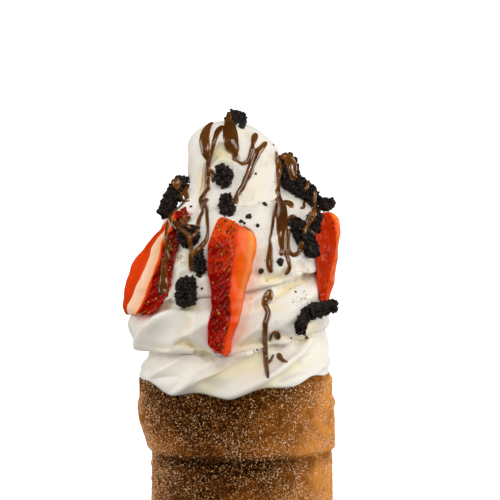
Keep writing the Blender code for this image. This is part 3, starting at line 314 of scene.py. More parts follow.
# Chocolate drizzle: each strand's places with its width there, (across, up, width) in millimetres
DRIZZLE = (
    (
        (-23.1, 169.6, 1.8), (-22.9, 168.5, 2.8), (-22.7, 167.1, 2.8), (-22.5, 165.2, 1.8),
    ),
    (
        (-9.4, 190.2, 1.1), (-11.2, 188.1, 2.3), (-12.2, 185.9, 3.0), (-12.5, 183.7, 3.4),
        (-12.3, 181.1, 3.2), (-12.0, 178.9, 2.8), (-11.4, 177.2, 2.1), (-11.1, 175.9, 1.6),
        (-11.2, 174.1, 1.6), (-11.2, 171.9, 1.9), (-11.2, 169.6, 1.9), (-11.1, 167.4, 1.9),
        (-11.1, 165.9, 1.6), (-12.0, 164.8, 1.3), (-12.9, 163.3, 1.4), (-13.8, 161.9, 1.6),
        (-13.8, 160.4, 1.6), (-13.5, 158.9, 1.2), (-13.3, 157.1, 1.1), (-14.2, 154.8, 1.3),
        (-14.8, 153.0, 1.5), (-14.9, 151.5, 1.2),
    ),
    (
        (-5.3, 188.5, 1.4), (-6.8, 187.8, 1.8), (-7.9, 186.3, 1.8), (-8.6, 184.1, 1.6),
        (-9.4, 181.5, 1.4), (-9.9, 179.3, 1.2), (-10.5, 177.0, 1.4), (-11.1, 175.6, 1.4),
    ),
    (
        (-2.7, 193.7, 1.2), (-3.5, 191.8, 1.8), (-3.5, 190.4, 2.8), (-3.3, 188.5, 4.1),
        (-3.1, 186.3, 5.0), (-2.8, 184.1, 5.1), (-2.4, 181.8, 4.8), (-1.6, 180.0, 3.9),
        (-1.3, 178.5, 2.5), (-1.8, 177.0, 1.2),
    ),
    (
        (-2.2, 177.6, 1.2), (-1.2, 176.3, 1.4), (0.0, 175.3, 1.4), (1.3, 175.0, 1.4), (2.8, 175.4, 1.4),
        (3.9, 176.7, 1.4), (4.5, 178.5, 1.6), (5.0, 180.4, 1.6), (5.2, 181.8, 1.2), (5.6, 183.3, 1.9),
        (6.0, 184.8, 2.3), (6.5, 186.1, 1.9),
    ),
    (
        (10.4, 183.0, 1.6), (9.1, 181.5, 1.9), (8.0, 180.2, 2.3), (6.9, 179.1, 2.8), (6.3, 177.8, 2.8),
        (5.6, 176.3, 2.5), (4.9, 174.4, 2.1), (4.3, 172.6, 2.5), (3.6, 170.8, 2.3), (2.6, 168.9, 2.1),
        (1.9, 167.1, 1.9), (1.0, 165.6, 1.9), (0.0, 164.1, 1.8), (-0.8, 162.6, 1.6), (-0.9, 161.1, 1.9),
        (-1.1, 160.0, 1.6),
    ),
    (
        (-10.7, 172.6, 1.1), (-9.6, 172.0, 1.3), (-9.4, 170.4, 1.2), (-9.4, 167.8, 1.2),
    ),
    (
        (-10.9, 161.5, 1.1), (-12.3, 161.5, 1.1), (-12.3, 160.0, 1.1), (-11.6, 158.2, 1.1),
        (-11.6, 155.6, 1.1), (-11.4, 153.0, 1.1), (-11.2, 150.4, 0.9), (-11.4, 148.2, 1.1),
        (-11.8, 146.7, 1.4), (-12.9, 145.2, 1.7), (-14.2, 143.9, 1.6), (-15.7, 142.4, 1.4),
        (-16.6, 141.5, 1.6),
    ),
    (
        (-18.3, 167.4, 1.2), (-19.0, 166.3, 1.8), (-19.6, 164.8, 2.1), (-19.2, 163.2, 2.1),
        (-18.5, 161.9, 1.4),
    ),
    (
        (-21.2, 164.5, 0.8), (-21.4, 163.0, 0.9), (-20.7, 161.5, 1.0), (-19.4, 160.8, 0.9),
        (-17.9, 161.3, 0.8),
    ),
    (
        (-22.5, 158.4, 1.2), (-24.0, 157.2, 1.6), (-24.7, 155.4, 1.8), (-24.2, 153.4, 2.0),
        (-23.2, 151.7, 2.0), (-22.2, 151.0, 1.7), (-21.2, 152.6, 2.0), (-20.1, 153.9, 2.6),
        (-18.6, 154.5, 2.3), (-17.5, 154.3, 1.3),
    ),
    (
        (-22.0, 151.0, 1.1), (-20.9, 151.9, 1.1), (-19.6, 152.2, 1.2), (-18.5, 151.9, 1.2),
        (-17.7, 150.8, 1.1),
    ),
    (
        (-21.6, 150.8, 1.1), (-20.1, 149.7, 1.4), (-18.8, 148.6, 1.8), (-18.0, 147.1, 1.8),
        (-17.7, 145.2, 1.5), (-17.5, 143.7, 1.4), (-17.3, 141.9, 1.8), (-17.3, 140.0, 2.0),
        (-17.2, 137.8, 2.3), (-17.2, 136.3, 1.9), (-17.0, 135.2, 1.1),
    ),
    (
        (-15.3, 150.8, 1.1), (-15.7, 149.3, 1.2), (-16.8, 148.0, 1.2), (-17.7, 147.3, 1.2),
    ),
    (
        (-26.0, 153.7, 0.8), (-26.4, 150.4, 1.1), (-26.6, 147.4, 1.4), (-26.6, 144.5, 1.6),
        (-26.4, 142.3, 1.9), (-25.9, 140.4, 1.8), (-25.5, 138.9, 1.1),
    ),
    (
        (-27.7, 140.4, 1.4), (-27.5, 138.6, 2.0), (-27.5, 135.6, 2.3), (-27.7, 131.9, 2.8),
        (-27.9, 129.3, 3.3), (-28.1, 127.5, 3.0), (-28.1, 126.2, 1.8),
    ),
    (
        (-24.2, 145.4, 0.8), (-25.1, 144.5, 1.1), (-24.7, 143.2, 1.3), (-23.8, 142.6, 0.8),
    ),
    (
        (13.7, 179.6, 0.9), (14.1, 177.8, 1.1), (14.5, 176.3, 1.8), (14.8, 174.4, 2.3),
        (15.0, 172.6, 2.1), (15.1, 170.8, 1.4), (14.8, 168.9, 1.2), (14.7, 166.7, 1.1),
        (14.5, 164.8, 1.8), (14.7, 163.0, 1.8), (15.2, 161.1, 2.3), (15.8, 159.7, 3.2),
        (16.0, 157.8, 3.7), (16.1, 155.6, 4.0), (16.1, 153.0, 3.9), (16.1, 150.4, 3.7),
        (16.1, 147.8, 3.0), (16.1, 145.6, 2.3), (16.3, 143.7, 1.8), (16.0, 142.3, 1.6),
        (15.6, 140.8, 1.4),
    ),
    (
        (16.7, 144.1, 1.2), (17.4, 141.9, 1.3), (18.2, 140.0, 1.3), (18.7, 138.2, 1.4),
        (18.8, 136.3, 1.4), (18.2, 134.9, 1.2), (17.1, 133.8, 0.8),
    ),
    (
        (13.9, 160.4, 1.2), (13.4, 157.8, 1.1), (12.9, 154.8, 1.0), (12.6, 151.9, 1.0),
        (12.1, 148.9, 0.9), (11.6, 146.7, 0.9), (11.8, 144.5, 1.4), (11.7, 142.3, 1.9),
        (11.5, 140.0, 2.3), (11.5, 137.8, 2.5), (11.8, 135.8, 2.1), (12.1, 134.5, 1.1),
    ),
    (
        (16.5, 160.9, 1.4), (18.0, 160.4, 1.8), (19.3, 159.8, 2.1), (20.0, 158.5, 1.8),
    ),
    (
        (17.8, 153.4, 1.0), (18.7, 154.7, 1.2), (20.0, 155.5, 1.2), (21.3, 155.6, 0.9),
    ),
    (
        (18.7, 150.8, 1.4), (18.6, 148.9, 1.1), (18.4, 146.7, 1.0), (18.4, 144.5, 1.1),
        (18.7, 142.6, 1.3), (19.7, 141.3, 1.4), (20.9, 141.2, 1.6), (22.2, 142.1, 1.5),
        (23.0, 143.9, 1.6), (23.4, 145.4, 1.6), (23.5, 146.3, 1.2),
    ),
    (
        (15.6, 177.4, 1.2), (16.9, 177.6, 2.1), (18.2, 177.2, 3.0), (19.1, 175.9, 3.6),
        (19.7, 174.1, 3.8), (20.0, 172.2, 3.3), (20.2, 170.4, 2.8), (20.1, 168.5, 1.8),
    ),
    (
        (25.9, 168.2, 1.1), (25.4, 166.5, 1.2), (24.5, 165.0, 1.5),
    ),
    (
        (28.2, 164.8, 1.1), (28.2, 162.6, 1.3), (28.2, 160.4, 1.1), (28.4, 158.5, 1.6),
        (28.0, 156.7, 2.1), (27.1, 154.8, 2.1), (26.1, 153.0, 1.8), (25.0, 151.5, 1.5),
        (24.4, 150.0, 1.2), (24.4, 148.7, 1.0),
    ),
    (
        (24.5, 161.3, 0.9), (24.2, 160.0, 1.1), (24.1, 158.7, 1.1), (22.6, 158.4, 0.8),
    ),
    (
        (11.0, 128.4, 1.4), (11.3, 127.3, 2.7), (11.0, 125.8, 3.3), (10.3, 124.3, 3.0), (9.8, 122.8, 2.3),
        (10.4, 121.4, 1.8), (11.0, 119.7, 2.0), (10.6, 117.8, 2.1), (10.0, 116.0, 2.0), (9.8, 113.4, 1.8),
        (9.8, 110.4, 1.8), (9.8, 107.5, 1.8), (10.0, 104.5, 1.7), (10.2, 101.6, 1.6), (10.5, 99.0, 1.6),
        (10.8, 97.1, 1.4), (11.0, 95.3, 0.9),
    ),
    (
        (12.9, 104.5, 0.7), (12.3, 102.7, 0.8), (11.1, 100.8, 0.8),
    ),
    (
        (11.7, 109.3, 0.8), (12.1, 111.2, 0.9), (12.8, 112.7, 1.4), (13.8, 112.5, 2.1),
        (14.5, 111.0, 2.1), (14.5, 109.7, 1.6),
    ),
    (
        (14.3, 104.7, 1.6), (15.2, 103.6, 2.1), (16.1, 102.5, 1.6), (17.4, 101.7, 1.1),
        (18.5, 101.2, 0.8),
    ),
)
STRAND_STEP = 0.45  # millimetres between the sections of a strand
STRAND_SIDES = 9
STRAND_SMOOTHING = 4
STRAND_SINK = 0.25 * MM
STRAND_HANG = 0.6
BACK_STRANDS = (4, 12, 19, 27)  # strands that are laid over the back as well
THIN_CHOCOLATE = 0.55 * MM  # chocolate thinner than this looks lighter
STRAND_SPREAD = 1.12
# Small cookie crumbs on the cream: (across, up, size)
CRUMBS = (
    (9.7, 159.7, 1.9), (3.8, 155.2, 2.2), (1.2, 153.5, 1.5), (2.2, 152.9, 1.0), (7.1, 152.0, 1.4),
    (8.3, 135.2, 2.0), (15.4, 138.6, 2.8), (-13.5, 128.7, 0.9), (21.2, 127.5, 0.8), (-3.1, 163.9, 0.9),
    (6.4, 171.2, 0.9), (19.5, 110.4, 0.7), (6.9, 106.0, 0.7), (-17.5, 159.0, 1.0), (12.9, 181.9, 0.8),
    (-20.5, 132.0, 0.7), (-0.2, 190.2, 3.6), (1.0, 188.6, 2.6), (-1.6, 189.6, 2.4), (2.0, 189.4, 1.8),
)
# Fine crumbs: (across, up) of a drift's middle, its spread and the number of crumbs
CRUMB_DRIFTS = (
    (-22.5, 140.5, 3.2, 60), (24.5, 136.0, 3.2, 24), (23.2, 124.6, 1.8, 50), (4.0, 150.0, 12.0, 40),
    (-6.0, 130.0, 14.0, 40),
)


def smooth(low, high, value):
    """0 below low, 1 above high, and an S-shaped rise between."""
    share = np.clip((value - low) / (high - low), 0, 1)
    return share * share * (3 - 2 * share)


def column(table, item):
    return np.array([row[item] for row in table], float)


def wrapped(angle):
    """The angle between -180 and 180 degrees."""
    return (angle + 180) % 360 - 180


def seam_drop(angle):
    return smooth(SEAM_DROP_FROM, SEAM_DROP_TO, angle % 360)


def dough_surface(angle, height):
    """(radius, shift along X) of the dough's outer wall."""
    turn = (height - FIRST_SEAM) / STRIP_PITCH + seam_drop(angle)
    lap = np.floor(turn)
    up_the_strip = turn - lap
    strip = lap - seam_drop(angle)
    top_turn = smooth(TOP_TURN_FROM, 0, strip)
    flare = TOP_TURN_FLARE * top_turn
    edge = STRIP_EDGE * smooth(0, 0.09, up_the_strip) * (1.15 - up_the_strip)
    edge = edge * smooth(8 * MM, 20 * MM, height) * (1 - smooth(86 * MM, 91 * MM, height))
    radians = np.radians(angle)
    left = np.clip(-np.sin(radians), 0, 1) ** 2
    curl = TOP_TURN_CURL * left * (1 - smooth(0, 0.5, up_the_strip)) * top_turn
    swell = DOUGH_SWELL * np.sin(3 * radians + height / (19 * MM)) * smooth(0, 20 * MM, height)
    radius = FOOT_RADIUS + DOUGH_TAPER * height + flare + edge - curl + swell
    foot = 1 - np.clip(height / BASE_ROUNDING, 0, 1)
    rounding = (radius - BASE_RADIUS) * (1 - np.sqrt(1 - foot * foot))
    shift = DOUGH_SHIFT - TOP_TURN_SHIFT * top_turn
    return radius - rounding, shift * smooth(0, 25 * MM, height)


def ring_points(angle, radius, height, shift):
    """Points at these angles and radii round the axis."""
    radians = np.radians(angle)
    across = radius * np.sin(radians) + shift
    along = -radius * np.cos(radians)
    return np.stack([across, along, np.broadcast_to(height, across.shape)], axis=-1)


def crease_depth(angle, height):
    """(inward depth of the creases, index of the swirl's turn, depth of the crease under an overhang)."""
    angles, heights, depths = column(CREASE, 0), column(CREASE, 1) * MM, column(CREASE, 2) * MM
    total = np.zeros_like(height)
    lap = np.zeros_like(height)
    droop = np.zeros_like(height)
    for turn in range(-1, 4):
        unwound = angle + 360 * turn
        above = height - np.interp(unwound, angles, heights)
        depth = np.interp(unwound, angles, depths, left=0, right=0)
        lip = 1 - smooth(0, 2.4 * MM, above)
        slope = 1 - smooth(0, 8.5 * MM, -above)
        total = np.maximum(total, depth * np.where(above > 0, lip, slope))
        hang = smooth(-0.5 * MM, 1.6 * MM, above) * (1 - smooth(1.6 * MM, 7 * MM, above))
        droop = np.maximum(droop, depth * hang)
        lap = lap + ((above > 0) & (unwound >= angles[0]))
    return total, lap, droop


def flute_height(angle, height, lap):
    """Outward height of the star-nozzle ridges, which run up to the right."""
    spacing = 360 / FLUTES
    unwound = angle - FLUTE_ANGLE - (height - 91 * MM) / FLUTE_CLIMB + FLUTE_SHIFT * spacing * lap
    place = (unwound / spacing) % 1
    from_crest = 2 * np.minimum(place, 1 - place)
    crest = (1 - np.sqrt(from_crest**2 + 0.003)).clip(0, 1) ** 1.7
    size = np.interp(height, column(FLUTE_HEIGHT, 0) * MM, column(FLUTE_HEIGHT, 1) * MM)
    return size * (crest - 0.3)


def off_route(pieces):
    """Distance from a route, positive on its left. Each straight piece is (from_x, from_z, run, rise)."""
    signed, nearest = 0.0, np.inf
    for from_x, from_z, run, rise in pieces:
        share = np.clip((from_x * run + from_z * rise) / (run * run + rise * rise), 0, 1)
        off_x, off_z = from_x - share * run, from_z - share * rise
        distance = np.hypot(off_x, off_z)
        side = np.where(run * off_z - rise * off_x > 0, 1.0, -1.0)
        signed = np.where(distance < nearest, distance * side, signed)
        nearest = np.minimum(nearest, distance)
    return signed


def fold_depth(angle, height, radius):
    """Inward depth of the folds: steep on one side of each route and soft on the other."""
    total = np.zeros_like(height)
    radius = np.maximum(radius, 6 * MM)
    for route, depth, reach, side in FOLDS:
        pieces = []
        for (angle_a, height_a), (angle_b, height_b) in zip(route, route[1:]):
            across = np.radians(wrapped(angle - (angle_a + angle_b) / 2)) * radius
            half = np.radians(angle_b - angle_a) / 2 * radius
            pieces.append((across + half, height - height_a * MM, 2 * half, (height_b - height_a) * MM))
        signed = off_route(pieces) * -side
        soft = 1 - smooth(0, reach * MM, signed)
        steep = 1 - smooth(0, FOLD_EDGE, -signed)
        total = np.maximum(total, depth * MM * np.where(signed > 0, soft, steep))
    return total


def dent_depth(angle, height):
    """Inward depth of the dents beside the toppings."""
    total = np.zeros_like(height)
    for at, level, wide, tall, depth in DENTS:
        near = np.hypot(wrapped(angle - at) / wide, (height / MM - level) / tall)
        total = total + depth * MM * (0.5 + 0.5 * np.cos(math.pi * np.minimum(near, 1)))
    return total


def lip_height(angle):
    """Height of the cream's scalloped lower edge."""
    angle = wrapped(angle)
    tips = np.interp(angle, column(LIP_TIPS, 0), column(LIP_TIPS, 1)) * MM
    place = (angle - FLUTE_ANGLE) * FLUTES / 360
    return tips + LIP_SCALLOP * np.sin(math.pi * place) ** 2


def rim_ring(angle, turn, gap=0.0):
    """A ring this far outside the dough's rounded rim, its turn from 0 at the outside to pi at the mouth."""
    outside, shift = dough_surface(angle, np.full_like(angle, RIM_START))
    middle, half = (outside + MOUTH_RADIUS) / 2, (outside - MOUTH_RADIUS) / 2
    height = RIM_START + (RIM_ROUNDING + gap) * np.sin(turn)
    return ring_points(angle, middle + (half + gap) * np.cos(turn), height, shift)


def well_ring(angle, radius, height):
    """A ring inside the well."""
    shift = dough_surface(angle, np.full_like(angle, RIM_START))[1]
    return ring_points(angle, np.full_like(angle, radius), height, shift)


def dough_wall(angle, height):
    """(radius, shift) at the gap outside the dough, up to the top of its rounded rim."""
    radius, shift = dough_surface(angle, np.minimum(height, RIM_START))
    up_the_rim = np.clip((height - RIM_START) / (RIM_ROUNDING + GAP), 0, 1)
    half = (radius - MOUTH_RADIUS) / 2 + GAP
    return radius + GAP - half * (1 - np.sqrt(1 - up_the_rim**2)), shift


def outline_curves():
    """Smooth (heights, radii) along the swirl's outline."""
    heights, radii = column(CREAM_OUTLINE, 0) * MM, column(CREAM_OUTLINE, 1) * MM
    knots = np.concatenate([[0], np.cumsum(np.hypot(np.diff(heights), np.diff(radii)))])
    fine = np.linspace(0, knots[-1], OUTLINE_STEPS)
    kernel = np.hanning(OUTLINE_KERNEL) / np.hanning(OUTLINE_KERNEL).sum()
    reach = OUTLINE_KERNEL // 2
    curves = []
    for values, mirror in ((heights, 1), (radii, -1)):
        line = np.interp(fine, knots, values)
        before = 2 * line[0] - line[reach:0:-1]
        after = line[-2:-reach - 2:-1] * mirror
        curves.append(np.convolve(np.concatenate([before, line, after]), kernel, mode="valid"))
    return curves


OUTLINE = outline_curves()


def outline_at(share):
    place = share * (len(OUTLINE[0]) - 1)
    return [np.interp(place, np.arange(len(curve)), curve) for curve in OUTLINE]


def cream_points(angle, share):
    """Points of the cream's outer surface. share runs from 0 at the lower lip to 1 at the peak."""
    height, radius = outline_at(share)
    lip = lip_height(angle)
    start = outline_at(np.zeros(1))[0][0]
    height = height + (lip - start) * (1 - smooth(start, LIP_BLEND_TOP, height))
    creases, lap, droop = crease_depth(angle, height)
    relief = flute_height(angle, height, lap) - creases - fold_depth(angle, height, radius)
    radians = np.radians(angle)
    relief = relief + CREAM_SWELL * np.sin(2 * radians + height / (11 * MM)) - dent_depth(angle, height)
    relief = relief + RIM_SWELL * np.cos(radians) ** 2 * (1 - smooth(lip, RIM_SWELL_TOP, height))
    radius = radius + relief * np.clip(radius / (9 * MM), 0, 1)
    shift = -np.interp(height, column(CREAM_LEAN, 0) * MM, column(CREAM_LEAN, 1) * MM)
    from_middle = np.abs(wrapped(angle - LEDGE_RISE_ANGLE)) / LEDGE_RISE_WIDTH
    climb = LEDGE_RISE * (0.5 + 0.5 * np.cos(math.pi * np.minimum(from_middle, 1)))
    climb = climb * smooth(146 * MM, 158 * MM, height) * (1 - smooth(163 * MM, 186 * MM, height))
    height = height + climb
    wall, dough_shift = dough_wall(angle, height)
    above_lip = np.clip((height - lip) / LIP_ROUNDING, 0, 1)
    rounding = np.sqrt(1 - (1 - above_lip) ** 2)
    near_lip = 1 - smooth(DOUGH_HEIGHT, DOUGH_HEIGHT + 8 * MM, height)
    on_rim = height < DOUGH_HEIGHT + RIM_ROUNDING
    radius = np.where(on_rim, np.maximum(radius, wall + LIP_THICKNESS), radius)
    radius = np.where(above_lip < 1, wall + (radius - wall) * rounding, radius)
    shift = dough_shift * near_lip + shift * (1 - near_lip)
    # The turns hang over the creases below them
    height = height - OVERHANG * droop * (above_lip >= 1)
    return ring_points(angle, radius, height, shift)


# Meshes


def grid_faces(rows, columns):
    """Faces of a grid whose rows close."""
    row, place = np.meshgrid(np.arange(rows - 1), np.arange(columns), indexing="ij")
    a = row * columns + place
    b = row * columns + (place + 1) % columns
    return np.stack([a, b, b + columns, a + columns], axis=-1).reshape(-1, 4).tolist()


def new_object(name, points, faces, material, smooth_shading=True):
    """A mesh object at the origin, linked to the scene."""
    mesh = bpy.data.meshes.new(name)
    mesh.from_pydata([tuple(point) for point in points], [], faces)
    mesh.update()
    mesh.polygons.foreach_set("use_smooth", [smooth_shading] * len(mesh.polygons))
    item = bpy.data.objects.new(name, mesh)
    bpy.context.scene.collection.objects.link(item)
    mesh.materials.append(material)
    return item


def face_outward(item):
    """Turns every face outward."""
    shape = bmesh.new()
    shape.from_mesh(item.data)
    bmesh.ops.recalc_face_normals(shape, faces=shape.faces)
    shape.to_mesh(item.data)
    shape.free()


def shade_smooth(item):
    item.data.polygons.foreach_set("use_smooth", [True] * len(item.data.polygons))


def remesh(item, size):
    """Adds the modifier that rebuilds the mesh from cells of this size."""
    even = item.modifiers.new("even", "REMESH")
    even.mode = "VOXEL"
    even.voxel_size = size


def apply_modifiers(item):
    for modifier in list(item.modifiers):
        bpy.ops.object.modifier_apply(modifier=modifier.name)
    shade_smooth(item)


def declare(item, node=None):
    """Says what the piece rides on and hides the CAD node that it replaces."""
    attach(item, "root")
    if node:
        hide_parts(node)


def set_attribute(item, name, values):
    """Stores one number for each point under this name."""
    layer = item.data.attributes.new(name, "FLOAT", "POINT")
    layer.data.foreach_set("value", np.ascontiguousarray(values, dtype=np.float32))


def seen(place, depth):
    """The point (millimetres) at this depth on the sight line through a place."""
    share = (depth - EYE.y) / -EYE.y
    return Vector((EYE.x + (place[0] - EYE.x) * share, depth, EYE.z + (place[1] - EYE.z) * share))


def surface_of(*items):
    """A search tree of these objects' surfaces."""
    points, faces = [], []
    for item in items:
        first = len(points)
        points.extend(vertex.co.copy() for vertex in item.data.vertices)
        faces.extend(tuple(index + first for index in polygon.vertices) for polygon in item.data.polygons)
    return BVHTree.FromPolygons(points, faces)


def on_surface(tree, place, turn=0):
    """The point where the sight line through a place, turned about the axis, meets or nears the surface."""
    turned = Matrix.Rotation(math.radians(turn), 3, "Z")
    start = turned @ EYE * MM
    direction = (turned @ Vector((place[0], 0, place[1])) * MM - start).normalized()
    point = tree.ray_cast(start, direction)[0]
    if point is None:
        point = tree.find_nearest(start + direction * (-EYE.y * MM))[0]
    return point


def place_seen(points):
    """(across, up) in millimetres of these points, as seen from the front."""
    share = -EYE.y / (points[..., 1] / MM - EYE.y)
    across = EYE.x + (points[..., 0] / MM - EYE.x) * share
    up = EYE.z + (points[..., 2] / MM - EYE.z) * share
    return across, up


def stroke_depth(across, up):
    """(inward depth of the strokes in metres, share of the painted yellowish shade in their hollows) at
    these places.
    """
    total, hollow = np.zeros_like(across), np.zeros_like(across)
    for route, depth, reach_left, reach_right in STROKES:
        pieces = [(across - x, up - z, x_b - x, z_b - z) for (x, z), (x_b, z_b) in zip(route, route[1:])]
        signed = off_route(pieces)
        from_ends = [np.hypot(across - x, up - z) for x, z in (route[0], route[-1])]
        fade = 0.35 + 0.65 * smooth(0, 3.5, np.minimum(*from_ends))
        left = 1 - smooth(0, reach_left, signed)
        right = 1 - smooth(0, reach_right, -signed)
        amount = depth * fade * np.where(signed > 0, left, right)
        total = total + amount
        # Painted shade grows with the depth of each hollow
        hollow = hollow + np.maximum(amount, 0) / 3
    return total * MM, np.clip(hollow, 0, 1)


# Materials


class Shader:
    """A short way to build one material's nodes."""

    def __init__(self, name):
        self.material = bpy.data.materials.new(name)
        self.material.use_nodes = True
        self.tree = self.material.node_tree
        self.surface = next(node for node in self.tree.nodes if node.type == "BSDF_PRINCIPLED")

    def node(self, kind, **settings):
        """A new node. A setting named after an input is that input's value or the socket linked to it."""
        node = self.tree.nodes.new("ShaderNode" + kind)
        for name, value in settings.items():
            if hasattr(node, name):
                setattr(node, name, value)
            else:
                self.feed(node.inputs[name.replace("_", " ")], value)
        return node

    def feed(self, socket, value):
        if isinstance(value, bpy.types.NodeSocket):
            self.tree.links.new(value, socket)
        else:
            socket.default_value = value

    def set(self, **inputs):
        """Sets inputs of the surface."""
        for name, value in inputs.items():
            self.feed(self.surface.inputs[name.replace("_", " ")], value)

    def place(self):
        return self.node("TexCoord").outputs["Object"]

    def noise(self, scale, detail=3.0, roughness=0.5):
        place = self.place()
        node = self.node("TexNoise", Vector=place, Scale=scale, Detail=detail, Roughness=roughness)
        return node.outputs["Fac"]

    def math(self, operation, first, second):
        node = self.node("Math", operation=operation)
        self.feed(node.inputs[0], first)
        self.feed(node.inputs[1], second)
        return node.outputs[0]

    def ramp(self, value, *stops):
        """A colour that runs through (position, colour) stops."""
        node = self.node("ValToRGB", Fac=value)
        points = node.color_ramp.elements
        while len(points) < len(stops):
            points.new(0.5)
        for point, (position, color) in zip(points, stops):
            point.position = position
            point.color = (*color, 1)
        return node.outputs["Color"]

    def mix(self, share, first, second, kind="MIX"):
        node = self.node("Mix", data_type="RGBA", blend_type=kind)
        self.feed(node.inputs[0], share)
        for socket, value in ((node.inputs[6], first), (node.inputs[7], second)):
            self.feed(socket, value if isinstance(value, bpy.types.NodeSocket) else (*value, 1))
        return node.outputs[2]

    def scaled(self, value, low, high, start=0.0, end=1.0):
        """The value moved from one range to another and kept inside it."""
        node = self.node("MapRange", Value=value)
        for name, number in (("From Min", low), ("From Max", high), ("To Min", start), ("To Max", end)):
            node.inputs[name].default_value = number
        return node.outputs["Result"]

    def attribute(self, name):
        return self.node("Attribute", attribute_name=name).outputs["Fac"]

    def bump(self, height, distance, strength=1.0, under=None):
        node = self.node("Bump", Height=height, Distance=distance, Strength=strength)
        if under is not None:
            self.feed(node.inputs["Normal"], under)
        return node.outputs["Normal"]


# Settings


class StageSettings(bpy.types.PropertyGroup):
    """Room that the cup is seen in."""

    eye_distance: FloatProperty(
        name="Eye distance",
        description="From the camera to the cup's axis",
        default=0.55,
        unit="LENGTH",
    )
    lens: FloatProperty(name="Lens", description="Focal length in millimetres", default=107.0)
    sky: FloatProperty(
        name="Sky",
        description="Strength of the white surroundings in front",
        default=0.32,
    )
    sky_behind: FloatProperty(
        name="Sky behind",
        description="Their strength behind the cup",
        default=1.15,
    )
    right: FloatProperty(
        name="Right",
        description="Power of the light on the right",
        default=1.5,
        unit="POWER",
    )
    left: FloatProperty(
        name="Left",
        description="Power of the light on the left",
        default=1.15,
        unit="POWER",
    )
    front: FloatProperty(
        name="Front",
        description="Power of the high light in front",
        default=1.25,
        unit="POWER",
    )
    spark: FloatProperty(
        name="Spark",
        description="Power of each small light for gloss",
        default=0.25,
        unit="POWER",
    )


class CrustSettings(bpy.types.PropertyGroup):
    """Sugared crust of the dough."""

    columns: IntProperty(name="Columns", description="Facets round the wall", default=340)
    rows: IntProperty(name="Rows", description="Facets up the wall", default=250)
    bumps: FloatProperty(
        name="Bumps",
        description="Height of the crust's unevenness",
        default=0.00022,
        subtype="DISTANCE",
    )
    coarse_grains: IntProperty(
        name="Coarse grains",
        description="Number of large sugar grains",
        default=22000,
    )
    fine_grains: IntProperty(
        name="Fine grains",
        description="Number of small sugar grains",
        default=45000,
    )
    dust_grains: IntProperty(
        name="Dust grains",
        description="Number of the smallest sugar grains",
        default=45000,
    )


class CreamSettings(bpy.types.PropertyGroup):
    """Piped whipped cream."""

    columns: IntProperty(name="Columns", description="Facets round the swirl", default=420)
    rows: IntProperty(name="Rows", description="Facets up the swirl", default=215)


class BerrySettings(bpy.types.PropertyGroup):
    """Strawberry wedges."""

    rows: IntProperty(name="Rows", description="Facets along each wedge", default=170)


class CookieSettings(bpy.types.PropertyGroup):
    """Broken cookies."""

    grain: FloatProperty(
        name="Grain",
        description="Size of the mesh cells",
        default=0.00026,
        subtype="DISTANCE",
    )
    roughness: FloatProperty(
        name="Roughness",
        description="Height of the lumps and pits",
        default=0.0011,
        subtype="DISTANCE",
    )


class DrizzleSettings(bpy.types.PropertyGroup):
    """Chocolate drizzle."""

    grain: FloatProperty(
        name="Grain",
        description="Size of the mesh cells",
        default=0.00022,
        subtype="DISTANCE",
    )


# Pieces


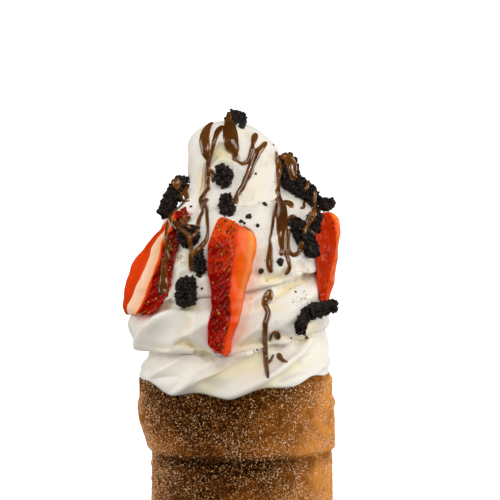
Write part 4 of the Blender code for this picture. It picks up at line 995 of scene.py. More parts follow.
class DESSERT_OT_crust(bpy.types.Operator):
    """Model the crust, browned in the oven, and its cinnamon sugar"""

    bl_idname = "dessert.crust"
    bl_label = "Crust"

    def execute(self, context):
        settings = context.scene.dessert_crust
        material = crust_material()
        columns, rows = settings.columns, settings.rows
        angle = np.arange(columns) * 360 / columns
        heights = np.concatenate([
            BASE_ROUNDING * (1 - np.cos(np.linspace(0, math.pi / 2, 9)[:-1])),
            np.linspace(BASE_ROUNDING, RIM_START, rows),
        ])
        angles, levels = np.meshgrid(angle, heights)
        radius, shift = dough_surface(angles, levels)
        points = ring_points(angles, radius, levels, shift)
        points = self.with_bumps(points, angles, levels, settings.bumps)
        rim = [rim_ring(angle, turn) for turn in np.linspace(0, math.pi, 9)[1:]]
        everything = np.concatenate([points, np.array([*rim, well_ring(angle, *CRUST_INSIDE)])])
        count = len(everything)
        faces = grid_faces(count, columns)
        faces.append(tuple(range(columns))[::-1])
        faces.append(tuple(range((count - 1) * columns, count * columns)))
        crust = new_object("crust", everything.reshape(-1, 3), faces, material)
        face_outward(crust)
        around = np.broadcast_to(angle, everything.shape[:2])
        set_attribute(crust, "bake", self.tone_and_painted_light(around, everything[..., 2]).reshape(-1))
        declare(crust, "cake")
        sugar = sugar_material()
        counts = (settings.coarse_grains, settings.fine_grains, settings.dust_grains)
        for grain, number in zip(GRAINS, counts):
            self.grains(*grain, number, sugar)
        return {"FINISHED"}

    def tone_and_painted_light(self, angle, height):
        """How golden the crust is, from 0 (deep brown) to 1, with painted light and shade added: shade at
        the front left and under the cream's lip, light on the right and the left, a highlight on each
        strip's lower edge and shade in the crease under it.
        """
        turned = wrapped(angle)
        # Painted shade, darkest at the front left under the cream
        dark = np.exp(-(((turned - DARKEST_ANGLE) / DARK_WIDTH) ** 2))
        across = np.sin(np.radians(angle))
        side = BAKE - DARKEST * dark
        # Painted light on the right and the left sides
        side = side + PAINTED_LIGHT_RIGHT * smooth(0.45, 1.0, across) + PAINTED_LIGHT_LEFT * smooth(0.55, 0.95, -across)
        from_seam = (height - FIRST_SEAM) / STRIP_PITCH + seam_drop(angle)
        from_seam = (from_seam - np.round(from_seam)) * STRIP_PITCH
        # Painted highlight on the rounded lower edge of each strip
        edge_highlight = smooth(0.5 * MM, 3 * MM, from_seam) * (1 - smooth(4 * MM, 13 * MM, from_seam))
        # Painted shade in the crease under each seam, strongest where the front is shaded
        below = (0.4 + 0.6 * dark) * (1 - smooth(0, 6 * MM, -from_seam)) * (from_seam <= 0.8 * MM)
        # Painted shadow of the cream's lip on the top of the crust, strongest at the front left
        top = smooth(80 * MM, 97 * MM, height) * smooth(-0.2, 0.9, np.cos(np.radians(angle + 25)))
        return side + SEAM_PAINTED_HIGHLIGHT * edge_highlight - SEAM_SHADE * below - PAINTED_SHADOW_TOP * top

    def with_bumps(self, points, angles, levels, size):
        """The wall moved in and out a little, in smooth random lumps."""
        chance = np.random.default_rng(3)
        radians = np.radians(angles)
        total = np.zeros_like(levels)
        for _ in range(BUMP_WAVES):
            around = chance.integers(-46, 47)
            up = chance.uniform(-1, 1) * 1600
            strength = 1 / (1 + math.hypot(around / 33, up / 1000)) ** 1.5
            total += strength * np.sin(around * radians + up * levels + chance.uniform(0, FULL_TURN))
        outward = np.stack([np.sin(radians), -np.cos(radians), np.zeros_like(radians)], axis=-1)
        fade = smooth(0, 6 * MM, levels)
        return points + outward * (size * 0.5 * total * fade)[..., None]

    def grains(self, name, shape, size, sink, seed, count, material):
        """Sugar grains strewn over the wall, denser in drifts, all in one mesh."""
        chance = np.random.default_rng(seed)
        angle = chance.uniform(0, 360, count * 3)
        height = chance.uniform(3 * MM, 96 * MM, count * 3)
        radians = np.radians(angle)
        drift = np.sin(radians * 5 + height * 190) + np.sin(radians * 11 - height * 330 + 2)
        sugared = 0.22 + 0.78 * smooth(0.15, 0.75, self.tone_and_painted_light(angle, height))
        sugared = sugared + 0.35 * smooth(40, 85, np.abs(wrapped(angle)))
        keep = chance.uniform(0, 1, count * 3) < (0.60 + 0.16 * drift) * sugared
        angle, height = angle[keep][:count], height[keep][:count]
        radius, shift = dough_surface(angle, height)
        size = size * chance.uniform(0.6, 1.35, len(angle))
        centres = ring_points(angle, radius + size * (1 - sink), height, shift)
        corners, sides = (np.array(part) for part in shape)
        turns = random_turns(chance, len(angle))
        stretch = chance.uniform(0.7, 1.3, (len(angle), 1, 3))
        shapes = np.einsum("nij,nkj->nki", turns, corners[None] * stretch * size[:, None, None] * 0.8)
        points = (shapes + centres[:, None, :]).reshape(-1, 3)
        firsts = np.arange(len(angle)) * len(corners)
        faces = (sides[None] + firsts[:, None, None]).reshape(-1, 3)
        declare(new_object(name, points, faces.tolist(), material, smooth_shading=False))


def random_turns(chance, count):
    """Random rotation matrices, made from random quaternions."""
    quaternion = chance.normal(size=(count, 4))
    w, x, y, z = (quaternion / np.linalg.norm(quaternion, axis=1, keepdims=True)).T
    return np.stack([
        np.stack([1 - 2 * (y * y + z * z), 2 * (x * y - z * w), 2 * (x * z + y * w)], axis=-1),
        np.stack([2 * (x * y + z * w), 1 - 2 * (x * x + z * z), 2 * (y * z - x * w)], axis=-1),
        np.stack([2 * (x * z - y * w), 2 * (y * z + x * w), 1 - 2 * (x * x + y * y)], axis=-1),
    ], axis=1)


def crust_material():
    shader = Shader("crust")
    uneven = shader.scaled(shader.noise(75, 4, 0.6), 0.3, 0.7, -0.22, 0.22)
    # Crust colour from its tone, with the painted light and shade stored on the wall
    base = shader.ramp(
        shader.math("ADD", shader.attribute("bake"), uneven),
        (0.05, (0.010, 0.0022, 0.0003)),
        (0.35, (0.060, 0.014, 0.0012)),
        (0.65, (0.25, 0.072, 0.005)),
        (0.95, (0.70, 0.275, 0.046)),
    )
    dust = shader.scaled(shader.noise(1300, 2, 0.7), 0.51, 0.64, 0, 0.5)
    color = shader.mix(dust, base, (0.60, 0.235, 0.052))
    shader.set(Base_Color=color, Roughness=0.7)
    shader.set(Specular_IOR_Level=0.12, Specular_Tint=(1.0, 0.5, 0.2, 1))
    fine = shader.bump(shader.noise(2200, 2, 0.7), 0.0002, 0.7)
    shader.set(Normal=shader.bump(shader.noise(520, 4, 0.6), 0.0006, 0.8, fine))
    return shader.material


def sugar_material():
    shader = Shader("sugar")
    tint = shader.ramp(
        shader.noise(1500, 1),
        (0.36, (0.46, 0.15, 0.026)),
        (0.47, (0.95, 0.48, 0.16)),
        (0.58, (1.0, 0.76, 0.47)),
    )
    shader.set(Base_Color=tint, Roughness=0.25, Specular_IOR_Level=0.4, Specular_Tint=(1.0, 0.8, 0.6, 1))
    return shader.material


def cream_material():
    shader = Shader("cream")
    cloudy = shader.scaled(shader.noise(60, 2), 0.35, 0.7)
    body = shader.mix(cloudy, (0.90, 0.835, 0.735), (0.92, 0.865, 0.775))
    # Painted yellowish shade in the hollows of the cream
    hollow = shader.scaled(shader.attribute("hollow"), 0.05, 0.75, 0, 0.9)
    body = shader.mix(hollow, body, (0.95, 0.81, 0.47))
    streaks = shader.scaled(shader.noise(420, 3), 0.35, 0.7, 0.35, 1)
    stain = shader.math("MULTIPLY", shader.attribute("stain"), streaks)
    body = shader.mix(stain, body, (0.93, 0.60, 0.44))
    shader.set(Base_Color=body, Roughness=0.45, Specular_IOR_Level=0.25)
    shader.set(Subsurface_Weight=0.35, Subsurface_Radius=(1.0, 0.8, 0.5), Subsurface_Scale=0.0014)
    shader.set(Normal=shader.bump(shader.noise(420, 3, 0.55), 0.00012, 0.35))
    return shader.material


class DESSERT_OT_cream(bpy.types.Operator):
    """Model the whipped cream: the plug in the dough, the lip over its rim and the piped swirl"""

    bl_idname = "dessert.cream"
    bl_label = "Cream"

    def execute(self, context):
        settings = context.scene.dessert_cream
        columns, rows = settings.columns, settings.rows
        angle = np.arange(columns) * 360 / columns
        share = np.linspace(0, 1, rows + 1)[:-1]
        angles, shares = np.meshgrid(angle, share)
        outer = cream_points(angles, shares)
        across, up = place_seen(outer)
        depth, hollow = stroke_depth(across, up)
        # More painted shade at the listed places
        for place_x, place_z, wide, tall, amount in PAINTED_SHADE_PLACES:
            spot = np.exp(-(((across - place_x) / wide) ** 2) - ((up - place_z) / tall) ** 2)
            hollow = np.maximum(hollow, amount * spot)
        in_front = smooth(0.05, 0.45, np.cos(np.radians(angles)))
        clear_of_rim = smooth(lip_height(angles) + 0.5 * MM, lip_height(angles) + 4 * MM, outer[..., 2])
        depth = depth * in_front * clear_of_rim
        outer = outer - grid_normals(outer) * depth[..., None]
        # The lip's first row lies on the dough, and the rim behind it closes the shape
        lip = (lip_height(angle) - RIM_START) / (RIM_ROUNDING + GAP)
        first = np.arcsin(np.clip(lip, 0, 0.98))
        turns = [first + (math.pi - first) * part for part in np.linspace(0, 1, 8)]
        inner = [rim_ring(angle, turn, GAP) for turn in turns]
        inner = np.array([*inner, well_ring(angle, *CREAM_INSIDE)])[::-1]
        everything = np.concatenate([inner, outer])
        flat = list(everything.reshape(-1, 3))
        flat.append(cream_points(np.zeros(1), np.ones(1))[0])
        count = len(everything)
        faces = grid_faces(count, columns)
        last = (count - 1) * columns
        for place in range(columns):
            faces.append((last + place, last + (place + 1) % columns, len(flat) - 1))
        faces.append(tuple(range(columns))[::-1])
        cream = new_object("whipped_cream", flat, faces, cream_material())
        face_outward(cream)
        none = np.zeros(len(inner) * columns)
        stain = self.stain(*place_seen(outer)) * in_front
        set_attribute(cream, "stain", np.concatenate([none, stain.reshape(-1), [0]]))
        set_attribute(cream, "hollow", np.concatenate([none, (hollow * in_front).reshape(-1), [0]]))
        declare(cream, "cream")
        return {"FINISHED"}

    def stain(self, across, up):
        """Share of berry juice in the cream, strongest along the cut face of the front berry."""
        edge = np.interp(up, (100, 107, 120, 133, 145, 150), (-4.4, -1.5, 2.0, 5.4, 7.0, 7.0))
        beside = across - edge
        along = smooth(101, 108, up) * (1 - smooth(138, 148, up))
        return along * smooth(-2.5, 0.5, beside) * (1 - smooth(0.5, 6.5, beside))


def spaced(values, count):
    """Rows of numbers resampled to this many along a smooth curve through them."""
    values = np.asarray(values, float)
    ends = np.concatenate([[2 * values[0] - values[1]], values, [2 * values[-1] - values[-2]]])
    place = np.linspace(0, len(values) - 1, count)
    start = np.minimum(place.astype(int), len(values) - 2)
    t = (place - start).reshape(-1, *([1] * (values.ndim - 1)))
    a, b, c, d = (ends[start + offset] for offset in range(4))
    return (2 * b + (c - a) * t + (2 * a - 5 * b + 4 * c - d) * t**2 + (3 * b - a - 3 * c + d) * t**3) / 2


class DESSERT_OT_strawberries(bpy.types.Operator):
    """Model the strawberry wedges: seeded skin, cut faces and seeds"""

    bl_idname = "dessert.strawberries"
    bl_label = "Strawberries"

    def execute(self, context):
        settings = context.scene.dessert_berries
        material = berry_material()
        seeds = seed_material()
        fronts = []
        for name, rows, depths, backs, bow in BERRIES:
            corners, back = self.sections(rows, depths, backs, bow, settings.rows)
            parts = self.berry(name, corners, back, material, seeds)
            if name != PLAIN_BERRY:
                fronts.append(parts[0])
            if name != "strawberry_front":
                continue
            for part in parts:
                copy = part.copy()
                copy.data = part.data.copy()
                copy.name = part.name.replace("front", "back")
                copy.data.transform(Matrix.Rotation(math.radians(BACK_TURN), 4, "Z"))
                bpy.context.scene.collection.objects.link(copy)
                declare(copy, None if "seeds" in copy.name else "strawberry_back")
        press_back(bpy.data.objects["whipped_cream"], fronts)
        return {"FINISHED"}

    def sections(self, rows, depths, backs, bow, count):
        """(corners, hidden corners behind) of this many sections from the top to the tip, in millimetres."""
        share = np.linspace(0, 1, len(rows))[:, None]
        depth = np.array(depths[0]) * (1 - share) + np.array(depths[1]) * share
        depth = depth - bow * np.sin(math.pi * share)
        corners = [[seen(place, y) for place, y in zip(row, line)] for row, line in zip(rows, depth)]
        corners = spaced(np.array(corners), count)
        share = np.linspace(0, 1, count)[:, None, None]
        back = np.array(backs[0]) * (1 - share) + np.array(backs[1]) * share
        middle = np.broadcast_to(corners[:, :, 2].mean(axis=1)[:, None, None], (count, 2, 1))
        return corners, np.concatenate([back, middle], axis=2)

    def runs(self, corners, back):
        """Round the section: start and end corner, facets, whether it is skin, flesh at start and end."""
        if corners.shape[1] == 3:
            outer, ridge, right = (corners[:, item] for item in range(3))
            edge = right * 0.8 + ridge * 0.2
            return (
                (right, edge, 7, 0, 0.42, 0.2),
                (edge, ridge, 20, 0, 0.2, 0.95),
                (ridge, outer, 70, 1, 1, 1),
                (outer, back[:, 0], 16, 0, 1, 0.6),
                (back[:, 0], back[:, 1], 8, 0, 0.6, 0.6),
                (back[:, 1], right, 12, 0, 0.6, 0.15),
            )
        left, middle, ridge, outer = (corners[:, item] for item in range(4))
        edge = ridge * 0.86 + middle * 0.14
        return (
            (outer, ridge, 70, 1, 1, 1),
            (ridge, edge, 5, 0, 0.6, 0.04),
            (edge, middle, 12, 0, 0.13, 0.0),
            (middle, left, 20, 0, 0.9, 0.8),
            (left, back[:, 0], 12, 0, 0.8, 0.6),
            (back[:, 0], back[:, 1], 8, 0, 0.6, 0.6),
            (back[:, 1], outer, 12, 0, 0.6, 1),
        )

    def berry(self, name, corners, back, material, seeds):
        """One wedge and its seeds. Its skin is on the left where the sections have three corners."""
        count = len(corners)
        skin_left = corners.shape[1] == 3
        plain = name == PLAIN_BERRY
        lines, skins, fleshes = [], [], []
        for start, end, steps, skin, flesh_a, flesh_b in self.runs(corners, back):
            for t in np.arange(steps) / steps:
                point = start * (1 - t) + end * t
                if skin:
                    chord = end - start
                    side = np.stack([chord[:, 1], -chord[:, 0], np.zeros(count)], axis=1)
                    side /= np.linalg.norm(side, axis=1, keepdims=True)
                    width = np.linalg.norm(chord, axis=1, keepdims=True)
                    point = point + side * width * SKIN_SWELL * math.sin(math.pi * t)
                lines.append(point)
                fading = smooth(0, 0.24, t) if skin_left else 1 - smooth(0.9, 1, t)
                skins.append(skin * (fading + SKIN_MARK))
                fleshes.append(flesh_a * (1 - t) + flesh_b * t)
        points = np.stack(lines, axis=1) * MM
        columns = points.shape[1]
        # The ends are rounded off
        centre = points.mean(axis=1, keepdims=True)
        along = np.linspace(0, 1, count)
        near = (np.minimum(along, 1 - along) * (count - 1) / TIP_ROWS).clip(0, 1)
        scale = TIP_SCALE + (1 - TIP_SCALE) * np.sqrt(1 - (1 - near) ** 2)
        points = centre + (points - centre) * scale[:, None, None]
        skin = np.array(skins, float)
        if plain:
            skin = np.where(skin > 0, 0.28 * skin + 0.05, 0.08)
        points = points + grid_normals(points) * self.lumps(points, skin)[..., None]
        dimples, spots = self.dimples(points, skin)
        dimples = dimples * (PLAIN_DIMPLES if plain else 1)
        points = points - grid_normals(points) * dimples[..., None]
        flat = [*points.reshape(-1, 3), points[0].mean(axis=0), points[-1].mean(axis=0)]
        faces = grid_faces(count, columns)
        last = (count - 1) * columns
        for place in range(columns):
            following = (place + 1) % columns
            faces.append((following, place, len(flat) - 2))
            faces.append((last + place, last + following, len(flat) - 1))
        berry = new_object(name, flat, faces, material)
        face_outward(berry)
        set_attribute(berry, "skin", np.concatenate([np.tile(skin, count), [0.9, 0.0]]))
        set_attribute(berry, "flesh", np.concatenate([np.tile(np.array(fleshes), count), [0.5, 0.5]]))
        # The left wedge isn't bright at its top
        ripe = along if skin_left else 0.5 + 0.5 * along
        set_attribute(berry, "top", np.concatenate([np.repeat(ripe, columns), [ripe[0], 1]]))
        set_attribute(berry, "dimple", np.concatenate([(dimples / DIMPLE).reshape(-1), [0.0, 0.0]]))
        declare(berry, name)
        return berry, self.seeds(name + "_seeds", spots[::PLAIN_SEEDS] if plain else spots, seeds)

    def lumps(self, points, skin):
        """Outward height of the uneven surface: low all over, and finer on the skin."""
        chance = np.random.default_rng(17)
        total = np.zeros(points.shape[:2])
        for length, height, everywhere in BERRY_LUMPS:
            share = everywhere + (1 - everywhere) * skin
            for _ in range(5):
                wave = chance.normal(size=3)
                wave *= 2 * math.pi / (np.linalg.norm(wave) * length * MM)
                total += height * MM * share * np.sin(points @ wave + chance.uniform(0, FULL_TURN)) * 0.6
        return total

    def dimples(self, points, skin):
        """Inward depth of the seed dimples for each point, and the seeds' (place, outward, along)."""
        columns = np.flatnonzero(skin)
        chance = np.random.default_rng(len(points) + len(columns))
        normals = grid_normals(points)
        spots = []
        rows = points.shape[0]
        line = points[:, columns[len(columns) // 2]]
        travelled = np.concatenate([[0], np.cumsum(np.linalg.norm(np.diff(line, axis=0), axis=1))])
        stations = np.arange(0.9 * MM, travelled[-1] - 0.5 * MM, SEED_SPACING * 0.72)
        for turn, station in enumerate(stations):
            row = int(np.interp(station, travelled, np.arange(rows)))
            width = np.linalg.norm(np.diff(points[row, columns], axis=0), axis=1).sum()
            number = max(2, round(width / SEED_SPACING))
            for index in range(number):
                share = (index + 0.25 + 0.5 * (turn % 2) + chance.uniform(-0.24, 0.24)) / number
                if not 0.03 < share < 0.97 or chance.uniform() < SEEDLESS:
                    continue
                at_row = int(np.clip(row + chance.integers(-3, 4), 2, rows - 3))
                at = columns[int(share * (len(columns) - 1))]
                along = points[at_row + 2, at] - points[at_row - 2, at]
                spots.append((points[at_row, at], normals[at_row, at], along))
        tree = KDTree(len(spots))
        for index, spot in enumerate(spots):
            tree.insert(spot[0], index)
        tree.balance()
        depth = np.zeros(points.shape[:2])
        for row in range(rows):
            for place in columns:
                _, _, distance = tree.find(points[row, place])
                depth[row, place] = DIMPLE * math.exp(-((distance / DIMPLE_REACH) ** 2))
        return depth, spots

    def seeds(self, name, spots, material):
        """Small pointed seeds at these spots, sunk in their dimples."""
        turns = [2 * math.pi * corner / SEED_SIDES for corner in range(SEED_SIDES)]
        points, faces = [], []
        for place, outward, along in spots:
            along = Vector(along).normalized()
            outward = Vector(outward).normalized()
            side = along.cross(outward).normalized()
            centre = Vector(place) - outward * SEED_SINK
            first = len(points)
            points.append(centre - along * SEED_LENGTH / 2)
            for level, wide in SEED_SHAPE:
                for turn in turns:
                    reach = side * math.cos(turn) * 0.6 + outward * math.sin(turn) * 0.4
                    points.append(centre + (along * level + reach * wide) * SEED_LENGTH / 2)
            last = len(points)
            points.append(centre + along * SEED_LENGTH / 2)
            for corner in range(SEED_SIDES):
                following = (corner + 1) % SEED_SIDES
                faces.append((first, first + 1 + following, first + 1 + corner))
                for ring in range(first + 1, last - SEED_SIDES, SEED_SIDES):
                    a, b = ring + corner, ring + following
                    faces.append((a, b, b + SEED_SIDES, a + SEED_SIDES))
                faces.append((last, last - SEED_SIDES + corner, last - SEED_SIDES + following))
        item = new_object(name, points, faces, material)
        face_outward(item)
        declare(item)
        return item


def grid_normals(points):
    """Outward normals of a grid of points whose rows close."""
    along = np.gradient(points, axis=0)
    around = np.roll(points, -1, axis=1) - np.roll(points, 1, axis=1)
    normals = np.cross(around, along)
    normals /= np.linalg.norm(normals, axis=2, keepdims=True) + 1e-12
    centre = points.mean(axis=1, keepdims=True)
    outward = np.sign(((points - centre) * normals).sum(axis=2).mean())
    return normals * outward


def berry_material():
    shader = Shader("strawberry")
    skin, flesh = shader.attribute("skin"), shader.attribute("flesh")
    top, dimple = shader.attribute("top"), shader.attribute("dimple")
    along = shader.math("ADD", top, shader.scaled(shader.noise(150, 3), 0.3, 0.7, -0.13, 0.13))
    red = shader.ramp(
        along,
        (0.0, (0.85, 0.10, 0.004)),
        (0.14, (0.72, 0.035, 0.0015)),
        (0.36, (0.33, 0.004, 0.0008)),
        (0.62, (0.27, 0.003, 0.0008)),
        (0.9, (0.42, 0.007, 0.001)),
    )
    # Painted shade darkens the skin in the seed dimples
    red = shader.mix(shader.scaled(dimple, 0.15, 0.95, 0, 0.6), red, (0.10, 0.002, 0.0005))
    rays = shader.node("Mapping", Vector=shader.place())
    rays.inputs["Scale"].default_value = (1.0, 1.0, 0.3)
    streaks = shader.node("TexNoise", Vector=rays.outputs[0], Scale=420.0, Detail=3.0).outputs["Fac"]
    inner = shader.ramp(
        flesh,
        (0.0, (0.98, 0.70, 0.50)),
        (0.09, (0.97, 0.55, 0.32)),
        (0.2, (0.94, 0.35, 0.09)),
        (0.38, (0.91, 0.17, 0.012)),
        (0.65, (0.90, 0.12, 0.004)),
        (0.97, (0.80, 0.04, 0.001)),
    )
    lower = shader.scaled(along, 0.1, 0.85, 0, 0.92)
    lower = shader.math("MULTIPLY", lower, shader.scaled(flesh, 0.13, 0.2))
    inner = shader.mix(shader.scaled(streaks, 0.5, 0.8, 0, 0.25), inner, (0.97, 0.40, 0.11))
    inner = shader.mix(lower, inner, (0.78, 0.044, 0.0008))
    color = shader.mix(skin, inner, red)
    shader.set(Base_Color=color, Roughness=0.2, Specular_IOR_Level=0.08)
    shader.set(Coat_Weight=shader.scaled(skin, 0, 1, 0.04, 0.3), Coat_Roughness=0.08, Coat_IOR=1.45)
    shader.set(Normal=shader.bump(shader.noise(600, 2), 0.00015, 0.5))
    return shader.material


def seed_material():
    shader = Shader("seeds")
    tint = shader.ramp(
        shader.noise(300, 1),
        (0.38, (0.10, 0.012, 0.002)),
        (0.52, (0.36, 0.11, 0.008)),
        (0.66, (0.75, 0.38, 0.05)),
    )
    shader.set(Base_Color=tint, Roughness=0.3, Specular_IOR_Level=0.25)
    return shader.material


def press_back(cream, berries):
    """Moves the cream that would show just in front of a berry to behind its surface."""
    tree = surface_of(*berries)
    eye = EYE * MM
    for vertex in cream.data.vertices:
        direction = (vertex.co - eye).normalized()
        hit, _, _, distance = tree.ray_cast(vertex.co, direction, PRESS_LIMIT)
        if hit is not None:
            vertex.co += direction * (distance + PRESS_DEPTH)


class DESSERT_OT_cookies(bpy.types.Operator):
    """Model the broken cocoa cookies from the frame's blocks"""

    bl_idname = "dessert.cookies"
    bl_label = "Cookies"

    def execute(self, context):
        settings = context.scene.dessert_cookies
        material = cookie_material()
        for name, node in sorted(FRAME["nodes"].items()):
            if name.startswith("cookie"):
                declare(self.chunk(name, node, material, settings), name)
        return {"FINISHED"}

    def chunk(self, name, node, material, settings):
        """A rough piece in the place of one CAD block."""
        item = bpy.data.objects.new(name + "_rough", node.data.copy())
        if name in RESHAPED:
            self.reshape(item, *RESHAPED[name])
        bpy.context.scene.collection.objects.link(item)
        item.data.materials.clear()
        item.data.materials.append(material)
        select_only(item)
        remesh(item, settings.grain)
        for label, basis, size, strength in COOKIE_RELIEF:
            texture = bpy.data.textures.get(label) or bpy.data.textures.new(label, "CLOUDS")
            texture.noise_scale = size * MM
            texture.noise_depth = 3
            texture.contrast = 2.0
            texture.noise_basis = basis
            rough = item.modifiers.new(label, "DISPLACE")
            rough.texture = texture
            rough.texture_coords = "LOCAL"
            rough.strength = strength * settings.roughness
            rough.mid_level = 0.5
        apply_modifiers(item)
        return item

    def reshape(self, item, wide, tall, lean, turn, move):
        """Scales a piece about its middle, leans and turns it and moves it, as seen from the front."""
        right, forward, up = move
        places = np.array([vertex.co for vertex in item.data.vertices])
        middle = (places.min(axis=0) + places.max(axis=0)) / 2
        for vertex, place in zip(item.data.vertices, places - middle):
            vertex.co.x = middle[0] + place[0] * wide + place[2] * lean + right * MM
            vertex.co.y = middle[1] + place[1] + place[0] * turn - forward * MM
            vertex.co.z = middle[2] + place[2] * tall + up * MM


def even_rows(values):
    """Moves each row but the ends halfway to the mean of its neighbours."""
    values[1:-1] = values[1:-1] * 0.5 + (values[:-2] + values[2:]) * 0.25


def select_only(item):
    """Makes this the only selected and the active object."""
    bpy.ops.object.select_all(action="DESELECT")
    item.select_set(True)
    bpy.context.view_layer.objects.active = item


def cookie_material():
    shader = Shader("cocoa")
    grain = shader.ramp(
        shader.noise(1300, 3, 0.7),
        (0.42, (0.003, 0.0018, 0.0012)),
        (0.52, (0.012, 0.007, 0.0045)),
        (0.64, (0.085, 0.054, 0.037)),
    )
    shader.set(Base_Color=grain, Roughness=0.34, Specular_IOR_Level=0.35)
    shader.set(Normal=shader.bump(shader.noise(2200, 3, 0.7), 0.0004, 1.0))
    return shader.material


def chocolate_material():
    shader = Shader("chocolate")
    cloudy = shader.scaled(shader.noise(90, 2), 0.35, 0.65)
    tint = shader.mix(cloudy, (0.085, 0.026, 0.004), (0.18, 0.060, 0.009))
    thin = shader.scaled(shader.attribute("thin"), 0.0, 1.0, 0, 0.85)
    tint = shader.mix(thin, tint, (0.36, 0.125, 0.022))
    shader.set(Base_Color=tint, Roughness=0.14)
    shader.set(Specular_IOR_Level=0.5, Specular_Tint=(1.0, 0.85, 0.7, 1))
    shader.set(Coat_Weight=0.8, Coat_Roughness=0.04, Coat_IOR=1.5)
    shader.set(Normal=shader.bump(shader.noise(260, 2), 0.0003, 0.35))
    return shader.material


class DESSERT_OT_drizzle(bpy.types.Operator):
    """Model the chocolate drizzle that lies over the cream and the toppings"""

    bl_idname = "dessert.drizzle"
    bl_label = "Chocolate drizzle"

    def execute(self, context):
        settings = context.scene.dessert_drizzle
        names = ("whipped_cream", "strawberry", "cookie")
        pieces = [item for item in bpy.data.objects if item.name.startswith(names)]
        tree = surface_of(*(item for item in pieces if item.name not in FRAME["nodes"]))
        points, faces = [], []
        for route in DRIZZLE:
            self.strand(tree, route, points, faces, 0)
        for number in BACK_STRANDS:
            self.strand(tree, DRIZZLE[number], points, faces, BACK_TURN)
        item = new_object("chocolate_drizzle", points, faces, chocolate_material())
        face_outward(item)
        select_only(item)
        remesh(item, settings.grain)
        relax = item.modifiers.new("relax", "SMOOTH")
        relax.factor = 0.5
        relax.iterations = 6
        apply_modifiers(item)
        away = np.array([tree.find_nearest(vertex.co)[3] for vertex in item.data.vertices])
        set_attribute(item, "thin", 1 - smooth(0.10 * MM, THIN_CHOCOLATE, away))
        declare(item)
        return {"FINISHED"}

    def strand(self, tree, route, points, faces, turn):
        """Adds one strand, draped over the surface across its whole width."""
        route = np.array(route)
        length = np.linalg.norm(np.diff(route[:, :2], axis=0), axis=1).sum()
        line = spaced(route, max(5, round(length / STRAND_STEP)))
        count = len(line)
        travelled = np.minimum(np.arange(count), np.arange(count)[::-1]) * STRAND_STEP
        half = line[:, 2] / 2 * STRAND_SPREAD
        rounding = np.sqrt(1 - (1 - np.clip(travelled / half, 0.06, 1)) ** 2)
        half = half * rounding
        offsets = np.sin(np.linspace(-math.pi / 2, math.pi / 2, STRAND_SIDES))
        eye, rays, reach = self.sight_lines(tree, line, half, offsets, turn)
        middle = reach[:, STRAND_SIDES // 2].copy()
        middle[1:-1] = np.minimum(np.minimum(middle[:-2], middle[2:]), middle[1:-1])
        for _ in range(2 * STRAND_SMOOTHING):
            even_rows(middle)
        # It bridges hollows beside the middle and hangs over edges a little
        slack = np.abs(offsets)[None] * half[:, None] * MM
        reach = np.clip(reach, middle[:, None] - slack, middle[:, None] + STRAND_HANG * slack)
        for _ in range(STRAND_SMOOTHING):
            even_rows(reach)
            even_rows(reach.T)
        under = np.array(eye) + rays * reach[..., None]
        normals = np.cross(np.gradient(under, axis=0), np.gradient(under, axis=1))
        normals /= np.linalg.norm(normals, axis=2, keepdims=True)
        normals *= -np.sign((normals * rays).sum(axis=2, keepdims=True))
        thick = (0.32 + 0.40 * np.sqrt(line[:, 2])) * MM * rounding
        dome = np.clip(1 - offsets**2, 0, 1) ** 0.5
        top = under + normals * (thick[:, None] * dome[None] + 0.05 * MM)[..., None]
        bottom = under - normals * STRAND_SINK
        sides = 2 * STRAND_SIDES
        first = len(points)
        for row in range(count):
            points.extend(top[row])
            points.extend(bottom[row][::-1])
        for row in range(count - 1):
            for corner in range(sides):
                following = (corner + 1) % sides
                a, b = first + row * sides + corner, first + row * sides + following
                faces.append((a, b, b + sides, a + sides))
        faces.append(tuple(range(first, first + sides))[::-1])
        faces.append(tuple(range(len(points) - sides, len(points))))

    def sight_lines(self, tree, line, half, offsets, turn):
        """(eye, rays through the strand's grid of places, distance along each ray to the surface)."""
        along = np.gradient(line[:, :2], axis=0)
        along /= np.linalg.norm(along, axis=1, keepdims=True)
        sideways = np.stack([along[:, 1], -along[:, 0]], axis=1)
        turned = Matrix.Rotation(math.radians(turn), 3, "Z")
        eye = turned @ EYE * MM
        rays = np.zeros((len(line), STRAND_SIDES, 3))
        reach = np.zeros((len(line), STRAND_SIDES))
        for row in range(len(line)):
            for item, offset in enumerate(offsets):
                place = line[row, :2] + sideways[row] * offset * half[row]
                ray = turned @ Vector((place[0], 0, place[1])) * MM - eye
                rays[row, item] = np.array(ray.normalized())
                reach[row, item] = (on_surface(tree, place, turn) - eye).length
        return eye, rays, reach


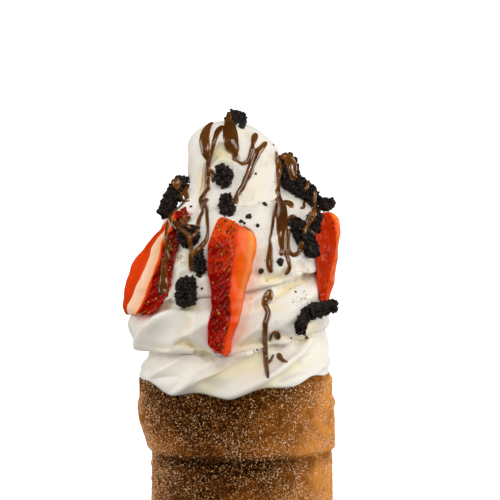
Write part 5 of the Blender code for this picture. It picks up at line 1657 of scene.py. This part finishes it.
class DESSERT_OT_crumbs(bpy.types.Operator):
    """Strew the small cookie crumbs and dust"""

    bl_idname = "dessert.crumbs"
    bl_label = "Crumbs and dust"

    def execute(self, context):
        tree = surface_of(bpy.data.objects["whipped_cream"])
        chance = random.Random(11)
        shape = bmesh.new()
        for across, up, size in CRUMBS:
            self.crumb(shape, on_surface(tree, (across, up)), size * MM, chance, 3)
        for across, up, spread, count in CRUMB_DRIFTS:
            for _ in range(count):
                place = (chance.gauss(across, spread), chance.gauss(up, spread))
                size = chance.uniform(0.12, 0.42) * MM
                self.crumb(shape, on_surface(tree, place), size, chance, 1)
        mesh = bpy.data.meshes.new("crumbs")
        shape.to_mesh(mesh)
        shape.free()
        item = bpy.data.objects.new("crumbs", mesh)
        bpy.context.scene.collection.objects.link(item)
        mesh.materials.append(bpy.data.materials["cocoa"])
        declare(item)
        return {"FINISHED"}

    def crumb(self, shape, point, size, chance, fineness):
        """Adds one irregular crumb, half sunk in the cream."""
        made = bmesh.ops.create_icosphere(shape, subdivisions=fineness, radius=size / 2)
        waves = []
        for _ in range(6):
            wave = Vector([chance.gauss(0, 1) for _ in range(3)]) * 3
            waves.append((wave, chance.uniform(0, FULL_TURN)))
        for vertex in made["verts"]:
            direction = vertex.co.normalized()
            lump = sum(math.sin(direction.dot(wave) + phase) for wave, phase in waves) / 6
            vertex.co = point + vertex.co * (1 + 0.5 * lump + chance.uniform(-0.07, 0.07))


class DESSERT_OT_stage(bpy.types.Operator):
    """Place the camera, the lights and the white surroundings"""

    bl_idname = "dessert.stage"
    bl_label = "Stage"

    def execute(self, context):
        scene = context.scene
        settings = scene.dessert_stage
        camera = bpy.data.cameras.new("camera")
        camera.sensor_width = 36
        camera.lens = settings.lens
        camera.clip_start = 0.01
        eye = bpy.data.objects.new("camera", camera)
        eye.location = (EYE.x * MM, -settings.eye_distance, EYE.z * MM)
        eye.rotation_euler = (math.pi / 2, 0, 0)
        scene.collection.objects.link(eye)
        scene.camera = eye
        self.floor()
        self.walls()
        lamps = (
            ("right", settings.right, 0.40, (0.60, 0.02, 0.22), (0, 0, 0.10)),
            ("left", settings.left, 0.40, (-0.60, -0.02, 0.30), (0, 0, 0.12)),
            ("front", settings.front, 0.40, (0.14, -0.50, 0.44), (0, 0, 0.12)),
            ("spark_right", settings.spark, 0.05, (0.16, -0.46, 0.52), (0, 0, 0.14)),
            ("spark_left", settings.spark, 0.05, (-0.26, -0.44, 0.42), (0, 0, 0.14)),
        )
        for lamp in lamps:
            self.lamp(*lamp)
        self.sky(scene, settings)
        scene.view_settings.view_transform = "Standard"
        scene.view_settings.look = "None"
        return {"FINISHED"}

    def sky(self, scene, settings):
        """White surroundings, brightest behind the cup."""
        world = bpy.data.worlds.new("sky")
        world.use_nodes = True
        nodes, links = world.node_tree.nodes, world.node_tree.links
        background = next(node for node in nodes if node.type == "BACKGROUND")
        background.inputs["Color"].default_value = (1, 1, 1, 1)
        place = nodes.new("ShaderNodeTexCoord")
        split = nodes.new("ShaderNodeSeparateXYZ")
        strength = nodes.new("ShaderNodeMapRange")
        ends = {"From Min": -0.6, "From Max": 0.9, "To Min": settings.sky, "To Max": settings.sky_behind}
        for name, value in ends.items():
            strength.inputs[name].default_value = value
        links.new(place.outputs["Generated"], split.inputs[0])
        links.new(split.outputs["Y"], strength.inputs["Value"])
        links.new(strength.outputs["Result"], background.inputs["Strength"])
        # Gloss shows the lamps and not the white room, which would wash the dark colours out
        scene.world = world
        world.cycles_visibility.glossy = False

    def floor(self):
        """A pale floor that runs up into the backdrop."""
        bend, far = 0.35, 0.8
        section = [(-1.2, 0.0)]
        for step in range(13):
            turn = math.pi / 2 * step / 12
            section.append((far - bend + bend * math.sin(turn), bend - bend * math.cos(turn)))
        section.append((far, 1.6))
        points, faces = [], []
        for across in (-1.6, 1.6):
            points.extend((across, y, z) for y, z in section)
        for index in range(len(section) - 1):
            faces.append((index, index + len(section), index + len(section) + 1, index + 1))
        shader = Shader("backdrop")
        shader.set(Base_Color=(0.97, 0.97, 0.97, 1), Roughness=0.9)
        shader.set(Emission_Color=(1, 1, 1, 1), Emission_Strength=0.7)
        backdrop = new_object("backdrop", points, faces, shader.material)
        # It shows white without lighting the cup from below
        backdrop.visible_diffuse = False
        backdrop.visible_glossy = False

    def walls(self):
        """A plain white wall all round, so that the background is white from every side."""
        steps = 48
        points = [
            (1.9 * math.sin(2 * math.pi * step / steps), -1.9 * math.cos(2 * math.pi * step / steps), height)
            for height in (-0.6, 3.0)
            for step in range(steps)
        ]
        faces = grid_faces(2, steps)
        faces.append(tuple(range(steps, 2 * steps)))
        shader = Shader("wall")
        shader.set(Base_Color=(0, 0, 0, 1), Specular_IOR_Level=0.0)
        shader.set(Emission_Color=(1, 1, 1, 1), Emission_Strength=1.0)
        walls = new_object("walls", points, faces, shader.material, smooth_shading=False)
        walls.visible_diffuse = False
        walls.visible_glossy = False
        walls.visible_shadow = False

    def lamp(self, name, power, size, place, aim):
        light = bpy.data.lights.new(name, "AREA")
        light.energy = power
        light.shape = "DISK"
        light.size = size
        item = bpy.data.objects.new(name, light)
        item.location = place
        item.rotation_euler = (Vector(aim) - Vector(place)).to_track_quat("-Z", "Y").to_euler()
        bpy.context.scene.collection.objects.link(item)


class DESSERT_PT_panel(bpy.types.Panel):
    """Sidebar panel with each piece's settings and button"""

    bl_label = "Chimney cake cup"
    bl_idname = "DESSERT_PT_panel"
    bl_space_type = "VIEW_3D"
    bl_region_type = "UI"
    bl_category = "Dessert"

    def draw(self, context):
        for operator, settings in STEPS:
            box = self.layout.box()
            if settings:
                group = getattr(context.scene, settings)
                for name in type(group).__annotations__:
                    box.prop(group, name)
            box.operator(operator.bl_idname)


STEPS = (
    (DESSERT_OT_stage, "dessert_stage"),
    (DESSERT_OT_crust, "dessert_crust"),
    (DESSERT_OT_cream, "dessert_cream"),
    (DESSERT_OT_strawberries, "dessert_berries"),
    (DESSERT_OT_cookies, "dessert_cookies"),
    (DESSERT_OT_drizzle, "dessert_drizzle"),
    (DESSERT_OT_crumbs, None),
)
SETTINGS = (
    ("dessert_stage", StageSettings),
    ("dessert_crust", CrustSettings),
    ("dessert_cream", CreamSettings),
    ("dessert_berries", BerrySettings),
    ("dessert_cookies", CookieSettings),
    ("dessert_drizzle", DrizzleSettings),
)


def register():
    for name, group in SETTINGS:
        bpy.utils.register_class(group)
        setattr(bpy.types.Scene, name, PointerProperty(type=group))
    for operator, _ in STEPS:
        bpy.utils.register_class(operator)
    bpy.utils.register_class(DESSERT_PT_panel)


def unregister():
    bpy.utils.unregister_class(DESSERT_PT_panel)
    for operator, _ in reversed(STEPS):
        bpy.utils.unregister_class(operator)
    for name, group in reversed(SETTINGS):
        delattr(bpy.types.Scene, name)
        bpy.utils.unregister_class(group)


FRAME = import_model()


def main():
    register()
    for operator, _ in STEPS:
        group, name = operator.bl_idname.split(".")
        getattr(getattr(bpy.ops, group), name)()


if __name__ == "__main__":
    main()
